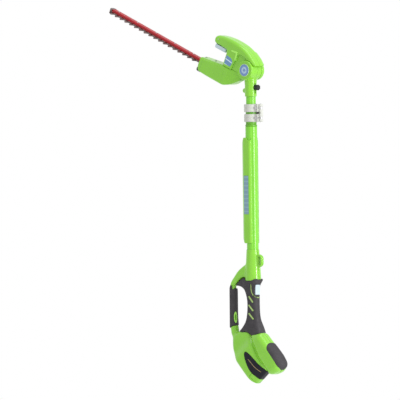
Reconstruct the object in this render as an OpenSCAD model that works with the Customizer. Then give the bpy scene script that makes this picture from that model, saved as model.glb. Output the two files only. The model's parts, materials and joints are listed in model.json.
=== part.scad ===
// Battery pole hedge trimmer: telescopic pole, tilting cutter head, double reciprocating blade.
// Origin at the centre of the rear grip, on the pole's axis. +Z runs up the pole, the blade
// points towards -X, and the head tilts about an axis along Y.

/* [Pole] */
// Outside diameter of the fixed lower tube
outer_tube_d = 46; // [45.4:0.1:46]
// Outside diameter of the sliding upper tube
inner_tube_d = 38; // [37:0.5:38]
// Wall thickness of both tubes
tube_wall = 2; // [1.5:0.5:2]
// Height of the lower tube's top end
tube_top = 692; // [680:1:700]
// Height of the upper tube's lower end with the pole closed
inner_tube_bottom = 150; // [140:5:200]

/* [Tilting head] */
// Height of the tilt pivot with the pole closed
pivot_z = 909; // [905:1:915]
// Angle of the blade above square to the pole
head_tilt = 24; // [10:1:30]
// Diameter of the tilt joint's drum
drum_d = 75; // [75:0.5:76]
// Angle between two catches of the tilt joint
index_step = 22; // [22:1:30]

/* [Blade] */
// Distance from one tooth to the next
tooth_pitch = 27.2; // [26:0.1:27.2]
// Teeth on each side of a cutter
tooth_count = 18; // [12:1:18]
// Distance from the blade's centre line to a tooth's tip
tooth_reach = 30; // [26:1:32]
// Thickness of one cutter
cutter_t = 3; // [2.5:0.1:3]
// Distance each cutter moves either side of its middle place
half_stroke = 8; // [5:0.5:8]

/* [Drive] */
// Teeth on the motor's pinion
pinion_teeth = 12; // [12:1:12]
// Teeth on the crank gear
gear_teeth = 40; // [40:1:40]
// Tooth size, pitch diameter over teeth
gear_module = 1.25; // [1.25:0.05:1.25]

/* [Handle] */
// Thickness of the battery housing across the tool
housing_t = 76; // [76:1:80]
// Thickness of the arm that joins the two grips
arm_t = 36; // [34:1:38]
// Wall thickness of the moulded shells
shell_wall = 3; // [2.5:0.1:3]

/* [Hidden] */
$fn = 48;
run_gap = 0.05;
tube_r = outer_tube_d / 2;
tube_in_r = tube_r - tube_wall;
inner_r = inner_tube_d / 2;
inner_in_r = inner_r - tube_wall;
drum_r = drum_d / 2;
neck_r = 23;
neck_bottom = 808;
inner_tube_top = 862;
tube_bottom = 120;

green = [0.42, 0.83, 0.16];
black = [0.16, 0.16, 0.17];
grey = [0.82, 0.82, 0.80];
steel = [0.55, 0.56, 0.58];
dark_steel = [0.30, 0.29, 0.30];
red = [0.62, 0.12, 0.11];
blue = [0.30, 0.45, 0.62];

// ---- shared helpers -------------------------------------------------------------------------

// Extrudes a side-view outline (X across, Z up) from one Y to another
module between_y(y0, y1)
  translate([0, y1, 0]) rotate([90, 0, 0]) linear_extrude(height = y1 - y0) children();

// The same, centred on the tool's middle plane
module side(width)
  between_y(-width / 2, width / 2) children();

// Cylinder along Y
module y_rod(x, z, r, y0, y1)
  translate([x, y0, z]) rotate([-90, 0, 0]) cylinder(r = r, h = y1 - y0);

// Vertical prism with a rounded rectangular section
module post(size, r, z0, z1)
  translate([0, 0, z0]) linear_extrude(height = z1 - z0) rounded(size, r);

module rounded(size, r) {
  square([size.x - 2 * r, size.y], center = true);
  square([size.x, size.y - 2 * r], center = true);
  for (i = [-1, 1], j = [-1, 1])
    translate([i * (size.x / 2 - r), j * (size.y / 2 - r)]) circle(r = r);
}

// Moves each side of an anticlockwise outline inwards by d, with square corners
function inset(p, d) = [
  for (i = [0 : len(p) - 1])
    let (
      before = p[(i + len(p) - 1) % len(p)],
      after = p[(i + 1) % len(p)],
      u = (p[i] - before) / norm(p[i] - before),
      v = (after - p[i]) / norm(after - p[i])
    )
    p[i] + d / (1 + u * v) * [-(u.y + v.y), u.x + v.x]
];

module left_side() intersection() {
  children();
  translate([-1000, -200, -1000]) cube([2000, 200, 3000]);
}

module right_side() intersection() {
  children();
  translate([-1000, 0, -1000]) cube([2000, 200, 3000]);
}

// ---- handle ---------------------------------------------------------------------------------

socket_z = 104;
socket_h = 115;
socket_r_low = 31;
socket_r_high = 24.6;
bay_angle = 40;
bay_top = [0, 0, -100];
bay_n0 = -108;
bay_n1 = -38;
bay_t0 = 28;
bay_t1 = 178;
bay_half_y = 33;
grip_core = [34, 26];
bar_x = -101;
bar_core = [18, 18];
// Places of the shell screws across the tool, each with its boss's half length
screw_places = [[-62, 124, 17], [-100, -112, 36], [24, -124, 36], [114, -230, 36]];
button_z = 64;
button_size = [26, 40];
trigger_pivot = [-13, 90];

// Outline of the battery housing, seen from the left, anticlockwise
housing_outline = [
  [-86, -84], [-118, -82], [-113, -104], [-106, -128], [-107, -158], [-94, -190], [-66, -219],
  [-33, -254], [-4, -284], [12, -295], [40, -296], [58, -287], [92, -259], [108, -259],
  [134, -252], [157, -238], [164, -219], [137, -186], [92, -141], [52, -101], [20, -97],
  [-30, -90], [-60, -95]
];
arm_outline = [
  [-8, 172], [-36, 158], [-66, 138], [-102, 101], [-117, 84], [-87, 80], [-80, 88], [-62, 103],
  [-44, 114], [-20, 108], [0, 104]
];
web_outline = [
  [-85, 80], [-72, 79], [-56, 75], [-40, 63], [-31, 46], [-10, 40], [0, 102], [-20, 106], [-44, 113],
  [-62, 102], [-80, 87]
];
flare_outline = [
  [-23, -36], [-33, -62], [-48, -84], [-60, -93], [-46, -97], [-26, -96], [0, -106], [28, -109],
  [50, -100], [36, -72], [26, -40]
];
leaf_outline = [
  [-80, -182], [-31, -182], [-36, -145], [-43, -105], [-48, -72], [-55, -52], [-61, -48], [-69, -53],
  [-77, -78], [-80, -109]
];

// Battery bay's own axes: X towards the rear, -Z down the bay
module bay()
  translate(bay_top) rotate([0, -bay_angle, 0]) children();

module bay_block(n0, n1, half_y, t0, t1)
  bay() translate([n0, -half_y, -t1]) cube([n1 - n0, 2 * half_y, t1 - t0]);

module strap_loop() difference() {
  side(14) polygon([[15, 150], [40, 152], [50, 160], [50, 190], [38, 199], [15, 200]]);
  side(20) polygon([[33, 160], [38, 159], [43, 164], [43, 184], [40, 190], [33, 192]]);
}

module handle_outside() {
  translate([0, 0, socket_z]) cylinder(r1 = socket_r_low, r2 = socket_r_high, h = socket_h);
  side(arm_t) polygon(arm_outline);
  side(housing_t) polygon(housing_outline);
  post(grip_core, 6, -105, 110);
  translate([bar_x, 0, 0]) post(bar_core, 5, -95, 92);
  strap_loop();
}

module handle_inside() {
  translate([0, 0, tube_bottom]) cylinder(r = tube_r, h = 200);
  translate([0, 0, 90]) cylinder(r = tube_r - 3, h = 31);
  side(arm_t - 2 * shell_wall) polygon(inset(arm_outline, shell_wall));
  post(grip_core - [2 * shell_wall, 2 * shell_wall], 3, -110, 120);
  translate([bar_x, 0, 0]) post(bar_core - [2 * shell_wall, 2 * shell_wall], 2, -97, 94);
  difference() {
    side(housing_t - 2 * shell_wall) polygon(inset(housing_outline, shell_wall));
    bay_block(bay_n0 - 40, bay_n1 + shell_wall, 60, bay_t0 - shell_wall, 300);
  }
  bay_block(bay_n0, bay_n1, bay_half_y, bay_t0, 300);
  bay() side(120) polygon(leaf_outline);
}

// Windows for the trigger and the lock-off button
module handle_windows() {
  translate([-30, -6.3, 34]) cube([16.1, 12.6, 62]);
  translate([5, -button_size.x / 2 - 0.4, button_z - button_size.y / 2 - 0.4])
    cube([40, button_size.x + 0.8, button_size.y + 0.8]);
}

module screw_bosses(r)
  for (p = screw_places)
    y_rod(p[0], p[1], r, -p[2], p[2]);

module screw_holes() for (p = screw_places) {
  y_rod(p[0], p[1], 2, -12, 60);
  y_rod(p[0], p[1], 4.2, 12, 60);
}

module handle_body() difference() {
  union() {
    difference() {
      handle_outside();
      handle_inside();
    }
    screw_bosses(6.5);
  }
  handle_windows();
  screw_holes();
  y_rod(trigger_pivot.x, trigger_pivot.y, 2.02, -11, 11);
}

module handle_shell_left() color(green) left_side() handle_body();

module handle_shell_right() color(green) right_side() handle_body();

module rear_grip() color(black) difference() {
  union() {
    post([48, 36], 16, -92, 102);
    side(34) polygon(web_outline);
    side(46) polygon(flare_outline);
  }
  post(grip_core, 6, -200, 200);
  side(arm_t + 1) polygon(arm_outline);
  side(housing_t + 1) polygon(housing_outline);
  translate([0, 0, socket_z]) cylinder(r = socket_r_low, h = 50);
  front_grip_post();
  translate([-60, -6.3, 34]) cube([46, 12.6, 50]);
  translate([5, -button_size.x / 2 - 0.4, button_z - button_size.y / 2 - 0.4])
    cube([40, button_size.x + 0.8, button_size.y + 0.8]);
}

module front_grip_post()
  translate([bar_x, 0, 0]) post(bar_core + [14, 10], 13, -90, 83);

module front_grip() color(black) difference() {
  front_grip_post();
  translate([bar_x, 0, 0]) post(bar_core, 5, -100, 100);
  side(arm_t + 1) polygon(arm_outline);
  side(housing_t + 1) polygon(housing_outline);
}

// Long oval pad let into the rear lobe's skin
pad_place = [43, 0, -148];
pad_slope = 2.9;
module rear_bumper() color(black) difference() {
  bay() translate(pad_place) rotate([0, 90 - pad_slope, 0]) linear_extrude(height = 8.5)
    union() {
      square([66, 56], center = true);
      for (i = [-1, 1]) translate([i * 33, 0]) circle(r = 28);
    }
  side(housing_t + 1) polygon(inset(housing_outline, -0.02));
}

// The shells' screws and the spine cover's two
module housing_screws() color(steel) {
  for (p = screw_places) {
    y_rod(p[0], p[1], 1.95, -11, 12.1);
    y_rod(p[0], p[1], 3.9, 12.05, 15.5);
  }
  for (z = spine_screw_z) {
    translate([spine_front, 0, z]) rotate([0, 90, 0]) cylinder(r = 2, h = 12.5);
    translate([spine_front - 4, 0, z]) rotate([0, 90, 0]) cylinder(r = 6, h = 4);
  }
}

module power_switch() color(black) {
  translate([-7, -5, 47]) cube([14, 10, 27]);
  translate([-9, -3, 56]) cube([2.5, 6, 8]);
}

module control_board() color([0.12, 0.35, 0.2]) bay() {
  translate([-1, -31, -160]) cube([1.6, 62, 90]);
  translate([0.55, -14, -150]) cube([16, 28, 34]);
  translate([0.6, 18, -96]) rotate([0, 90, 0]) cylinder(r = 7, h = 20);
  translate([0.6, -18, -96]) rotate([0, 90, 0]) cylinder(r = 7, h = 20);
}

contact_places = [-18, -6, 6, 18];
module battery_contacts() color([0.75, 0.6, 0.3]) bay() {
  translate([-92, -24, -bay_t0 - 5]) cube([40, 48, 5]);
  for (y = contact_places) translate([-82, y - 0.5, -bay_t0 - 13]) cube([20, 1, 8.1]);
}

module trigger_pin() color(steel)
  y_rod(trigger_pivot.x, trigger_pivot.y, 2, -10.5, 10.5);

module trigger() color([0.35, 0.35, 0.37]) difference() {
  side(11.8) polygon([
    [-16.5, 93], [-16.5, 84], [-20, 81], [-27, 77], [-31, 58], [-31, 41], [-22, 36], [-15, 37],
    [-15, 68], [-9, 78], [-9, 93]
  ]);
  y_rod(trigger_pivot.x, trigger_pivot.y, 2.06, -10, 10);
}

module lock_off_button() color([0.85, 0.88, 0.92]) {
  translate([12, -button_size.x / 2, button_z - button_size.y / 2]) intersection() {
    cube([15, button_size.x, button_size.y]);
    translate([-20, button_size.x / 2, -1]) cylinder(r = 34, h = button_size.y + 2);
  }
}

// ---- battery --------------------------------------------------------------------------------

pack_gap = 0.4;
pack_n0 = bay_n0 + pack_gap;
pack_n1 = bay_n1 - pack_gap;
pack_half_y = bay_half_y - pack_gap;
pack_mid = (pack_n0 + pack_n1) / 2;
pack_t0 = bay_t0 + 8;
cells_t0 = pack_t0 + 10;

module battery_case() color(black) difference() {
  bay_block(pack_n0, pack_n1, pack_half_y, pack_t0, bay_t1);
  bay_block(pack_n0 + 2, pack_n1 - 2, pack_half_y - 2, cells_t0 - 0.3, bay_t1 - 2.8);
  bay_block(-86, -58, 22, pack_t0 - 1, pack_t0 + 7.5);
  bay_block(-52, -41, 9.4, bay_t1 - 7, bay_t1 + 1);
}

module battery_panel(y0, y1) color([0.08, 0.08, 0.1])
  intersection() {
    bay() between_y(y0, y1) polygon(inset(leaf_outline, 0.5));
    bay_block(-200, 0, 60, 0, bay_t1 + 1.5);
  }

module battery_panel_left() battery_panel(-housing_t / 2 + 0.3, -pack_half_y);

module battery_panel_right() battery_panel(pack_half_y, housing_t / 2 - 0.3);

cell_r = 9.1;
cell_len = 64;
module battery_cells() color([0.2, 0.5, 0.75]) bay()
  for (layer = [0, 1], p = [[-19, -19], [19, -19], [0, 0], [-19, 19], [19, 19]])
    translate([pack_mid + p.x, p.y, -cells_t0 - (layer + 1) * (cell_len + 0.4)])
      cylinder(r = cell_r, h = cell_len);

module battery_release() color([0.3, 0.3, 0.32])
  bay_block(-51.6, -41.4, 9, bay_t1 - 3, bay_t1 + 3);

// ---- lower tube, spine and clamp -------------------------------------------------------------

spine_bottom = 243;
spine_top = 650;
spine_front = -36;
spine_screw_z = [284, 600];

module lower_tube() color(green) difference() {
  translate([0, 0, tube_bottom]) cylinder(r = tube_r - run_gap, h = tube_top - tube_bottom);
  translate([0, 0, tube_bottom - 1]) cylinder(r = tube_in_r, h = tube_top - tube_bottom + 2);
}

module spine_section() polygon([
  [14, 22], [8, 26.5], [-20, 26.5], [spine_front + 3, 16], [spine_front, 12], [spine_front, -12],
  [spine_front + 3, -16], [-20, -26.5], [8, -26.5], [14, -22]
]);

module spine_cover() color(green) difference() {
  translate([0, 0, spine_bottom]) linear_extrude(height = spine_top - spine_bottom) spine_section();
  translate([0, 0, 0]) cylinder(r = tube_r, h = 1000);
  translate([-33, -9, spine_bottom + 30]) cube([9.5, 18, spine_top - spine_bottom - 60]);
  side(100) polygon([[spine_front - 5, 630], [-20, 655], [-50, 655]]);
  side(100) polygon([[spine_front - 5, 262], [-20, 238], [-50, 238]]);
  for (z = spine_screw_z) translate([-60, 0, z]) rotate([0, 90, 0]) cylinder(r = 2.02, h = 40);
}

module pole_label() color(blue)
  translate([-19, -27.3, 355]) cube([23, 0.8, 148]);

core_bottom = 640;
core_top = 775;
core_r = 21;
band_r = 27;
band_lower = [710, 740];
band_upper = [748, 778];
clamp_gap = 3;
ear_x = [24, 42];
bolt_x = 35;
clamp_pin_y = 17;
cam_barrel_r = 8.7;
bolt_z = [725, 763];

module clamp_core() color([0.33, 0.62, 0.16]) difference() {
  union() {
    translate([0, 0, core_bottom]) cylinder(r = tube_in_r - 0.02, h = core_top - core_bottom);
    translate([0, 0, tube_top + 0.5]) cylinder(r = tube_r, h = 6);
  }
  translate([0, 0, core_bottom - 1]) cylinder(r = inner_r + run_gap, h = 200);
  translate([10, -2, tube_top + 8]) cube([20, 4, 100]);
}

module clamp_band(z) difference() {
  union() {
    translate([0, 0, z[0]]) cylinder(r = band_r, h = z[1] - z[0]);
    translate([10, -9.5, z[0]]) cube([ear_x[1] - 10, 17.5, z[1] - z[0]]);
  }
  translate([0, 0, z[0] - 1]) cylinder(r = core_r + 0.02, h = 60);
  translate([10, -clamp_gap, z[0] - 1]) cube([60, 2 * clamp_gap, 60]);
  y_rod(bolt_x, (z[0] + z[1]) / 2, 2.7, -20, 20);
}

module clamp_band_lower() color(grey) clamp_band(band_lower);

module clamp_band_upper() color(grey) clamp_band(band_upper);

module clamp_bolts() color(steel) for (z = bolt_z) difference() {
  union() {
    y_rod(bolt_x, z, 2.5, -10, clamp_pin_y - 3);
    y_rod(bolt_x, z, 5, -13, -9.55);
    translate([bolt_x, clamp_pin_y, z - 4]) cylinder(r = 6, h = 8);
  }
  translate([bolt_x, clamp_pin_y, z - 5]) cylinder(r = 2.55, h = 10);
}

module clamp_pin() color(steel)
  translate([bolt_x, clamp_pin_y, 708]) cylinder(r = 2.5, h = 72);

// Wraps the bands' right side, hinged on the pin
module clamp_lever() color(grey) difference() {
  union() {
    translate([bolt_x, clamp_pin_y, band_lower[0]]) cylinder(r = cam_barrel_r, h = 68);
    intersection() {
      translate([0, 0, band_lower[0] + 2]) difference() {
        cylinder(r = 36, h = 64);
        translate([0, 0, -1]) cylinder(r = 31, h = 70);
      }
      translate([0, 0, 700]) linear_extrude(height = 90)
        polygon([[0, 0], [46, 33], [30, 60], [-34, 60]]);
    }
  }
  translate([bolt_x, clamp_pin_y, 700]) cylinder(r = 2.56, h = 100);
  for (z = bolt_z)
    translate([bolt_x, clamp_pin_y, z - 5]) cylinder(r = 10, h = 10);
}

// The coil's outer shape only: a lead wound to stretch with the pole
coil_bottom = 160;
coil_top = 780;
module coiled_lead() color(black)
  translate([-3, 0, coil_bottom]) cylinder(r = 8, h = coil_top - coil_bottom);

// ---- upper pole and tilt joint ----------------------------------------------------------------

module upper_tube() color(green) difference() {
  translate([0, 0, inner_tube_bottom]) cylinder(r = inner_r, h = inner_tube_top - inner_tube_bottom);
  translate([0, 0, 0]) cylinder(r = inner_in_r, h = 1000);
  translate([0, -5.6, 812]) cube([40, 11.2, 100]);
}

module slide_bush() color(black) difference() {
  translate([0, 0, inner_tube_bottom + 2]) cylinder(r = tube_in_r - run_gap, h = 24);
  translate([0, 0, 0]) cylinder(r = inner_r + 0.01, h = 400);
}

// Neck and hollow drum; the drum's right end carries the head's spigot
drum_y0 = -36;
drum_y1 = 25;
spigot_r = 14;
boss_x = -29;
boss_z = 831;
boss_r = 8;

module yoke_body() difference() {
  union() {
    translate([0, 0, neck_bottom]) cylinder(r = neck_r, h = 40);
    translate([0, 0, neck_bottom + 39.9]) cylinder(r1 = neck_r, r2 = 24.8, h = 40);
    y_rod(0, pivot_z, drum_r, drum_y0, drum_y1);
    y_rod(boss_x, boss_z, boss_r, -11, 11);
    translate([boss_x, -11, boss_z - boss_r]) cube([20, 22, 2 * boss_r]);
  }
  translate([0, 0, 700]) cylinder(r = inner_r + 0.02, h = inner_tube_top - 700);
  translate([0, 0, inner_tube_top - 1]) cylinder(r = 16, h = 30);
  y_rod(0, pivot_z, drum_r - shell_wall, drum_y0 + shell_wall, drum_y1 - shell_wall);
  y_rod(0, pivot_z, spigot_r + run_gap, 0, 40);
  y_rod(boss_x, boss_z, 2.5, -20, 20);
  translate([10, -5.6, 820]) cube([30, 11.2, 37]);
}

module yoke_left() color(green) union() {
  left_side() difference() {
    yoke_body();
    y_rod(0, pivot_z, 24.2, -40, drum_y0 + 1);
  }
  difference() {
    y_rod(0, pivot_z, 10, drum_y0 + 2, -2);
    y_rod(0, pivot_z, 4.02, drum_y0 - 5, 5);
  }
}

module yoke_right() color(green) right_side() yoke_body();

module yoke_screw() color(steel) {
  y_rod(boss_x, boss_z, 2.45, -11, 11);
  y_rod(boss_x, boss_z, 4.6, 11.05, 14);
}

module pivot_bolt() color(steel) {
  y_rod(0, pivot_z, 4, -32, 33.1);
  y_rod(0, pivot_z, 8, 33.05, 37.6);
}

module pivot_badge() color(blue) union() {
  y_rod(0, pivot_z, 24, drum_y0 - 1.5, drum_y0 + 0.95);
  y_rod(0, pivot_z, 21, drum_y0 - 2.2, drum_y0 - 1);
}

module spring_seat() color(black) difference() {
  translate([0, 0, 792]) cylinder(r = inner_in_r - 0.03, h = 6);
  translate([-12, 0, 780]) cylinder(r = 3.2, h = 40);
}

// Toothed plate that the release's plunger drops against
index_r = 28;
spring_x = 4;
module release_spring() color(steel)
  translate([spring_x, 0, 799.2]) linear_extrude(height = 17.4, twist = -360 * 4, slices = 56)
    translate([5, 0]) circle(r = 0.9, $fn = 5);

plunger_y = [3, 10];
module tilt_release() color(black) {
  translate([-4, -8, 818]) cube([17.4, 16, 30]);
  translate([-4, plunger_y[0], 847])
    cube([8, plunger_y[1] - plunger_y[0], pivot_z - index_r - 0.6 - 847]);
  translate([13, -5.2, 833]) cube([13, 10.4, 18]);
  translate([24, 0, 842]) rotate([0, 90, 0]) cylinder(r = 10.5, h = 17);
}

module neck_lead() color(black)
  translate([-12, 0, 786]) cylinder(r = 3, h = 92);

// ---- head: X forward along the blade, Z towards the motor --------------------------------------

module head()
  translate([0, 0, pivot_z]) rotate([0, head_tilt, 0]) rotate([0, 0, 180]) children();

pocket_r = drum_r + 0.7;
head_half = 30;
ear_y = [-39, -25.3];
motor_x = 92;
motor_r = 27;
shaft_r = 3;
gear_x = motor_x + gear_module * (pinion_teeth + gear_teeth) / 2;
cutter_z = -70;

// Upper casing with the exhaust hood, anticlockwise
motor_outline = [
  [38, -27], [122, -27], [122, 27], [188, 26], [200, 36], [201, 54], [191, 68], [155, 75],
  [119, 80], [63, 78], [24, 67], [-9, 52], [-37, 37], [-28, 25], [0, 0]
];
nose_outline = [
  [24.5, -34], [24.5, -54], [58, -84], [92, -101], [212, -100], [243, -93], [252, -74], [250, -48],
  [123, -28], [38, -27.3]
];

module drum_pocket()
  y_rod(0, 0, pocket_r, ear_y[1], 60);

module motor_casing() difference() {
  side(2 * head_half) polygon(motor_outline);
  side(2 * head_half - 2 * shell_wall) polygon(inset([
    [50, -40], [122, -40], [122, 27], [188, 26], [200, 36], [201, 54], [191, 68], [155, 75],
    [119, 80], [63, 78], [30, 69], [32, 45], [50, 30]
  ], shell_wall));
  side(44) polygon([[132, 20], [184, 20], [184, 31], [132, 31]]);
  drum_pocket();
}

// The head's own axes are turned half round, so the tool's left side is at its +Y
module motor_shell_left() color(green) head()
  difference() {
    right_side() motor_casing();
    head_screw_holes();
  }

module motor_shell_right() color(green) head() difference() {
  union() {
    left_side() motor_casing();
    y_rod(0, 0, drum_r, ear_y[0], ear_y[1]);
    between_y(-head_half, ear_y[1])
      polygon([[0, 0], [38, -27], [60, -27], [60, 60], [24, 65], [-9, 50], [-34, 34]]);
  }
  y_rod(0, 0, spigot_r, -34, -20);
  y_rod(0, 0, 4.1, -60, 0);
  y_rod(0, 0, 9, -60, -33);
  head_screw_holes();
}

module nose_housing() color(green) head() difference() {
  union() {
    difference() {
      side(2 * head_half) polygon(nose_outline);
      side(2 * head_half - 2 * shell_wall) polygon(inset(nose_outline, shell_wall));
      translate([60, -head_half + shell_wall, -40]) cube([56, 2 * head_half - 2 * shell_wall, 20]);
    }
    intersection() {
      translate([gear_x, 0, -36.4]) cylinder(r = 12, h = 9);
      side(40) polygon(nose_outline);
    }
    translate([gear_x, 0, -98.5]) cylinder(r = 12, h = 8);
  }
  drum_pocket();
  translate([gear_x, 0, -36.5]) cylinder(r = 9.02, h = 5);
  translate([gear_x, 0, -97]) cylinder(r = 9.02, h = 7);
  translate([200, -14, -79]) cube([80, 28, 23]);
  for (p = rail_screws) translate([p[0], 0, -70]) cylinder(r = 2.05, h = 60);
}

index_y = [-9, -4];
module index_plate() color(steel) head() difference() {
  union() {
    y_rod(0, 0, index_r, index_y[0], index_y[1]);
    y_rod(0, 0, spigot_r - 0.02, -32.9, index_y[0] + 0.1);
  }
  y_rod(0, 0, 4.1, -60, 10);
  for (i = [-1 : 3])
    rotate([0, 90 + head_tilt + index_step * i, 0])
      translate([index_r - 6.6, -12, -4.15]) cube([10, 20, 8.3]);
}

can_z = [-19, 47];
can_wall = 2.5;
magnet_r = 20;
module motor_can() color(steel) head() translate([motor_x, 0, 0]) difference() {
  union() {
    translate([0, 0, can_z[0]]) cylinder(r = motor_r, h = can_z[1] - can_z[0]);
    translate([0, 0, can_z[0] - 5]) cylinder(r = 9, h = 6);
  }
  translate([0, 0, can_z[0] + can_wall])
    cylinder(r = motor_r - can_wall, h = can_z[1] - can_z[0] - 2 * can_wall);
  translate([0, 0, -60]) cylinder(r = shaft_r + run_gap, h = 200);
}

module field_magnets() color(dark_steel) head() translate([motor_x, 0, -9]) difference() {
  cylinder(r = motor_r - can_wall - 0.02, h = 46);
  translate([0, 0, -1]) cylinder(r = magnet_r, h = 50);
  translate([-30, -4, -1]) cube([60, 8, 50]);
}

module motor_plate() color(steel) head() difference() {
  translate([60.5, -26.5, -31.4]) cube([51.5, 53, 4]);
  translate([motor_x, 0, -60]) cylinder(r = 10, h = 60);
}

module vent_grille() color(grey) head() {
  difference() {
    translate([132.2, -21.8, 22]) cube([51.6, 43.6, 6]);
    for (i = [0 : 6]) translate([137 + 6.4 * i, -18, 10]) cube([3.4, 36, 30]);
  }
}

module head_label() color(blue) head()
  between_y(head_half, head_half + 0.8)
    polygon([[74, -22], [117, -22], [118, 14], [100, 14], [84, 6], [74, -6]]);

module crank_bearings() color(steel) head() for (z = [-36.3, -96.9])
  difference() {
    translate([gear_x, 0, z]) cylinder(r = 9, h = 4.7);
    translate([gear_x, 0, z - 1]) cylinder(r = 4.55, h = 10);
  }

head_screw_places = [[60, 60], [176, 56], [108, -22]];
module head_screw_holes() for (p = head_screw_places) {
  y_rod(p.x, p.y, 2, -60, 60);
}

module head_screws() color(steel) head() {
  for (p = head_screw_places) {
    y_rod(p.x, p.y, 1.95, -29.9, 29);
    y_rod(p.x, p.y, 4, -32, -30.02);
  }
  for (p = rail_screws) {
    translate([p[0], 0, -66]) cylinder(r = 2, h = p[1] + 66);
    translate([p[0], 0, p[1]]) cylinder(r = 4, h = 3);
  }
}

// Screws from the casing's roof into the rail: place along the blade, height of the head's seat
rail_screws = [[178, -35.8], [228, -43.7]];
rail_x = [166, 742];
rail_z = cutter_z + cutter_t + 0.3;
rail_h = 10;
rail_w = 22;
bolt_places = [for (i = [0 : 4]) 295 + 105 * i];
module blade_rail() color(red) head() difference() {
  translate([rail_x[0], -rail_w / 2, rail_z]) cube([rail_x[1] - rail_x[0], rail_w, rail_h]);
  for (x = bolt_places) translate([x, 0, -90]) cylinder(r = 3.52, h = 60);
  for (p = rail_screws) translate([p[0], 0, -90]) cylinder(r = 2.02, h = 60);
}

bolt_seat_z = cutter_z - cutter_t - 0.6;
module blade_bolts() color(dark_steel) head() for (x = bolt_places) {
  translate([x, 0, bolt_seat_z - 0.1]) cylinder(r = 3.5, h = rail_z + rail_h - bolt_seat_z + 1.5);
  translate([x, 0, bolt_seat_z - 3]) cylinder(r = 7, h = 3);
}

module rail_tip() color(dark_steel) head() difference() {
  translate([rail_x[1] + 0.02, 0, -77]) linear_extrude(height = 20.5) polygon([
    [0, -14], [9, -14], [15, -8], [15, 8], [9, 14], [0, 14]
  ]);
  translate([rail_x[1] - 5, -20, -74.6]) cube([13, 40, 8.4]);
}

// ---- moving drive pieces ----------------------------------------------------------------------

// Outline of a spur gear with straight-sided teeth
module gear_2d(teeth) {
  pitch_r = gear_module * teeth / 2;
  out_r = pitch_r + gear_module * 0.9;
  root_r = pitch_r - gear_module * 1.2;
  step = 360 / teeth;
  polygon([
    for (i = [0 : teeth - 1], k = [[root_r, -0.34], [out_r, -0.13], [out_r, 0.13], [root_r, 0.34]])
      [k[0] * cos((i + k[1]) * step), k[0] * sin((i + k[1]) * step)]
  ]);
}

module rotor() color(steel) head() translate([motor_x, 0, 0]) {
  translate([0, 0, -45]) cylinder(r = shaft_r, h = 97);
  translate([0, 0, -6]) cylinder(r = magnet_r - 1, h = 36);
  translate([0, 0, 33]) cylinder(r = 8, h = 8);
  translate([0, 0, -45]) linear_extrude(height = 9) rotate(180 / pinion_teeth) gear_2d(pinion_teeth);
}

module cooling_fan() color(black) head() translate([motor_x, 0, 52]) {
  cylinder(r = 7, h = 14);
  cylinder(r = 24, h = 1.6);
  for (i = [0 : 8]) rotate(40 * i) translate([6, -0.8, 1]) cube([17, 1.6, 12]);
}

crank_r = half_stroke;
cam_r = 9;
module drive_gear() color(steel) head() translate([gear_x, 0, -44]) difference() {
  union() {
    linear_extrude(height = 7) gear_2d(gear_teeth);
    translate([0, 0, -6]) cylinder(r = 9, h = 6.5);
  }
  translate([0, 0, -30]) cylinder(r = 5, h = 60);
}

module crank_shaft() color(steel) head() translate([gear_x, 0, 0]) {
  translate([0, 0, -66]) cylinder(r = 4.98, h = 29.5);
  translate([0, 0, -96.5]) cylinder(r = 4.5, h = 64.6);
  translate([crank_r, 0, cutter_z - 0.15]) cylinder(r = cam_r, h = cutter_t + 0.3);
  translate([-crank_r, 0, cutter_z - cutter_t - 0.45]) cylinder(r = cam_r, h = cutter_t + 0.3);
}

first_tooth = 268;
spine_half = 12.5;
window = [2 * (cam_r + crank_r + half_stroke) + 1, 2 * (cam_r + crank_r) + 1.6];
frame_size = window + [11, 11];
spine_start = gear_x + frame_size.x / 2 + run_gap;
spine_end = first_tooth + (tooth_count - 1) * tooth_pitch + 8;

// The frame that the crank drives, and the flat spine that carries the teeth, with the bolts' slots
module cutter_bar() linear_extrude(height = cutter_t) {
  translate([gear_x, 0]) difference() {
    square(frame_size, center = true);
    square(window, center = true);
  }
  difference() {
    translate([spine_start, -spine_half]) square([spine_end - spine_start, 2 * spine_half]);
    for (x = bolt_places) translate([x, 0]) {
      square([2 * half_stroke + 1, 7.6], center = true);
      for (i = [-1, 1]) translate([i * (half_stroke + 0.5), 0]) circle(r = 3.8);
    }
  }
}

// The teeth stand on both edges of the bar
module cutter_teeth() linear_extrude(height = cutter_t)
  for (i = [0 : tooth_count - 1], turn = [0, 180])
    translate([first_tooth + tooth_pitch * i, 0]) rotate(turn) polygon([
      [-6, spine_half], [6, spine_half], [3.2, tooth_reach - 1.5], [1.8, tooth_reach], [-1.8, tooth_reach],
      [-3.2, tooth_reach - 1.5]
    ]);

module upper_blade() head() translate([0, 0, cutter_z]) children();

module lower_blade() head() translate([0, 0, cutter_z - cutter_t - 0.3]) children();

module cutter_upper() color(dark_steel) upper_blade() cutter_bar();

module upper_teeth() color(dark_steel) upper_blade() cutter_teeth();

module cutter_lower() color(dark_steel) lower_blade() cutter_bar();

module lower_teeth() color(dark_steel) lower_blade() cutter_teeth();

// ---- what is drawn ----------------------------------------------------------------------------

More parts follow.
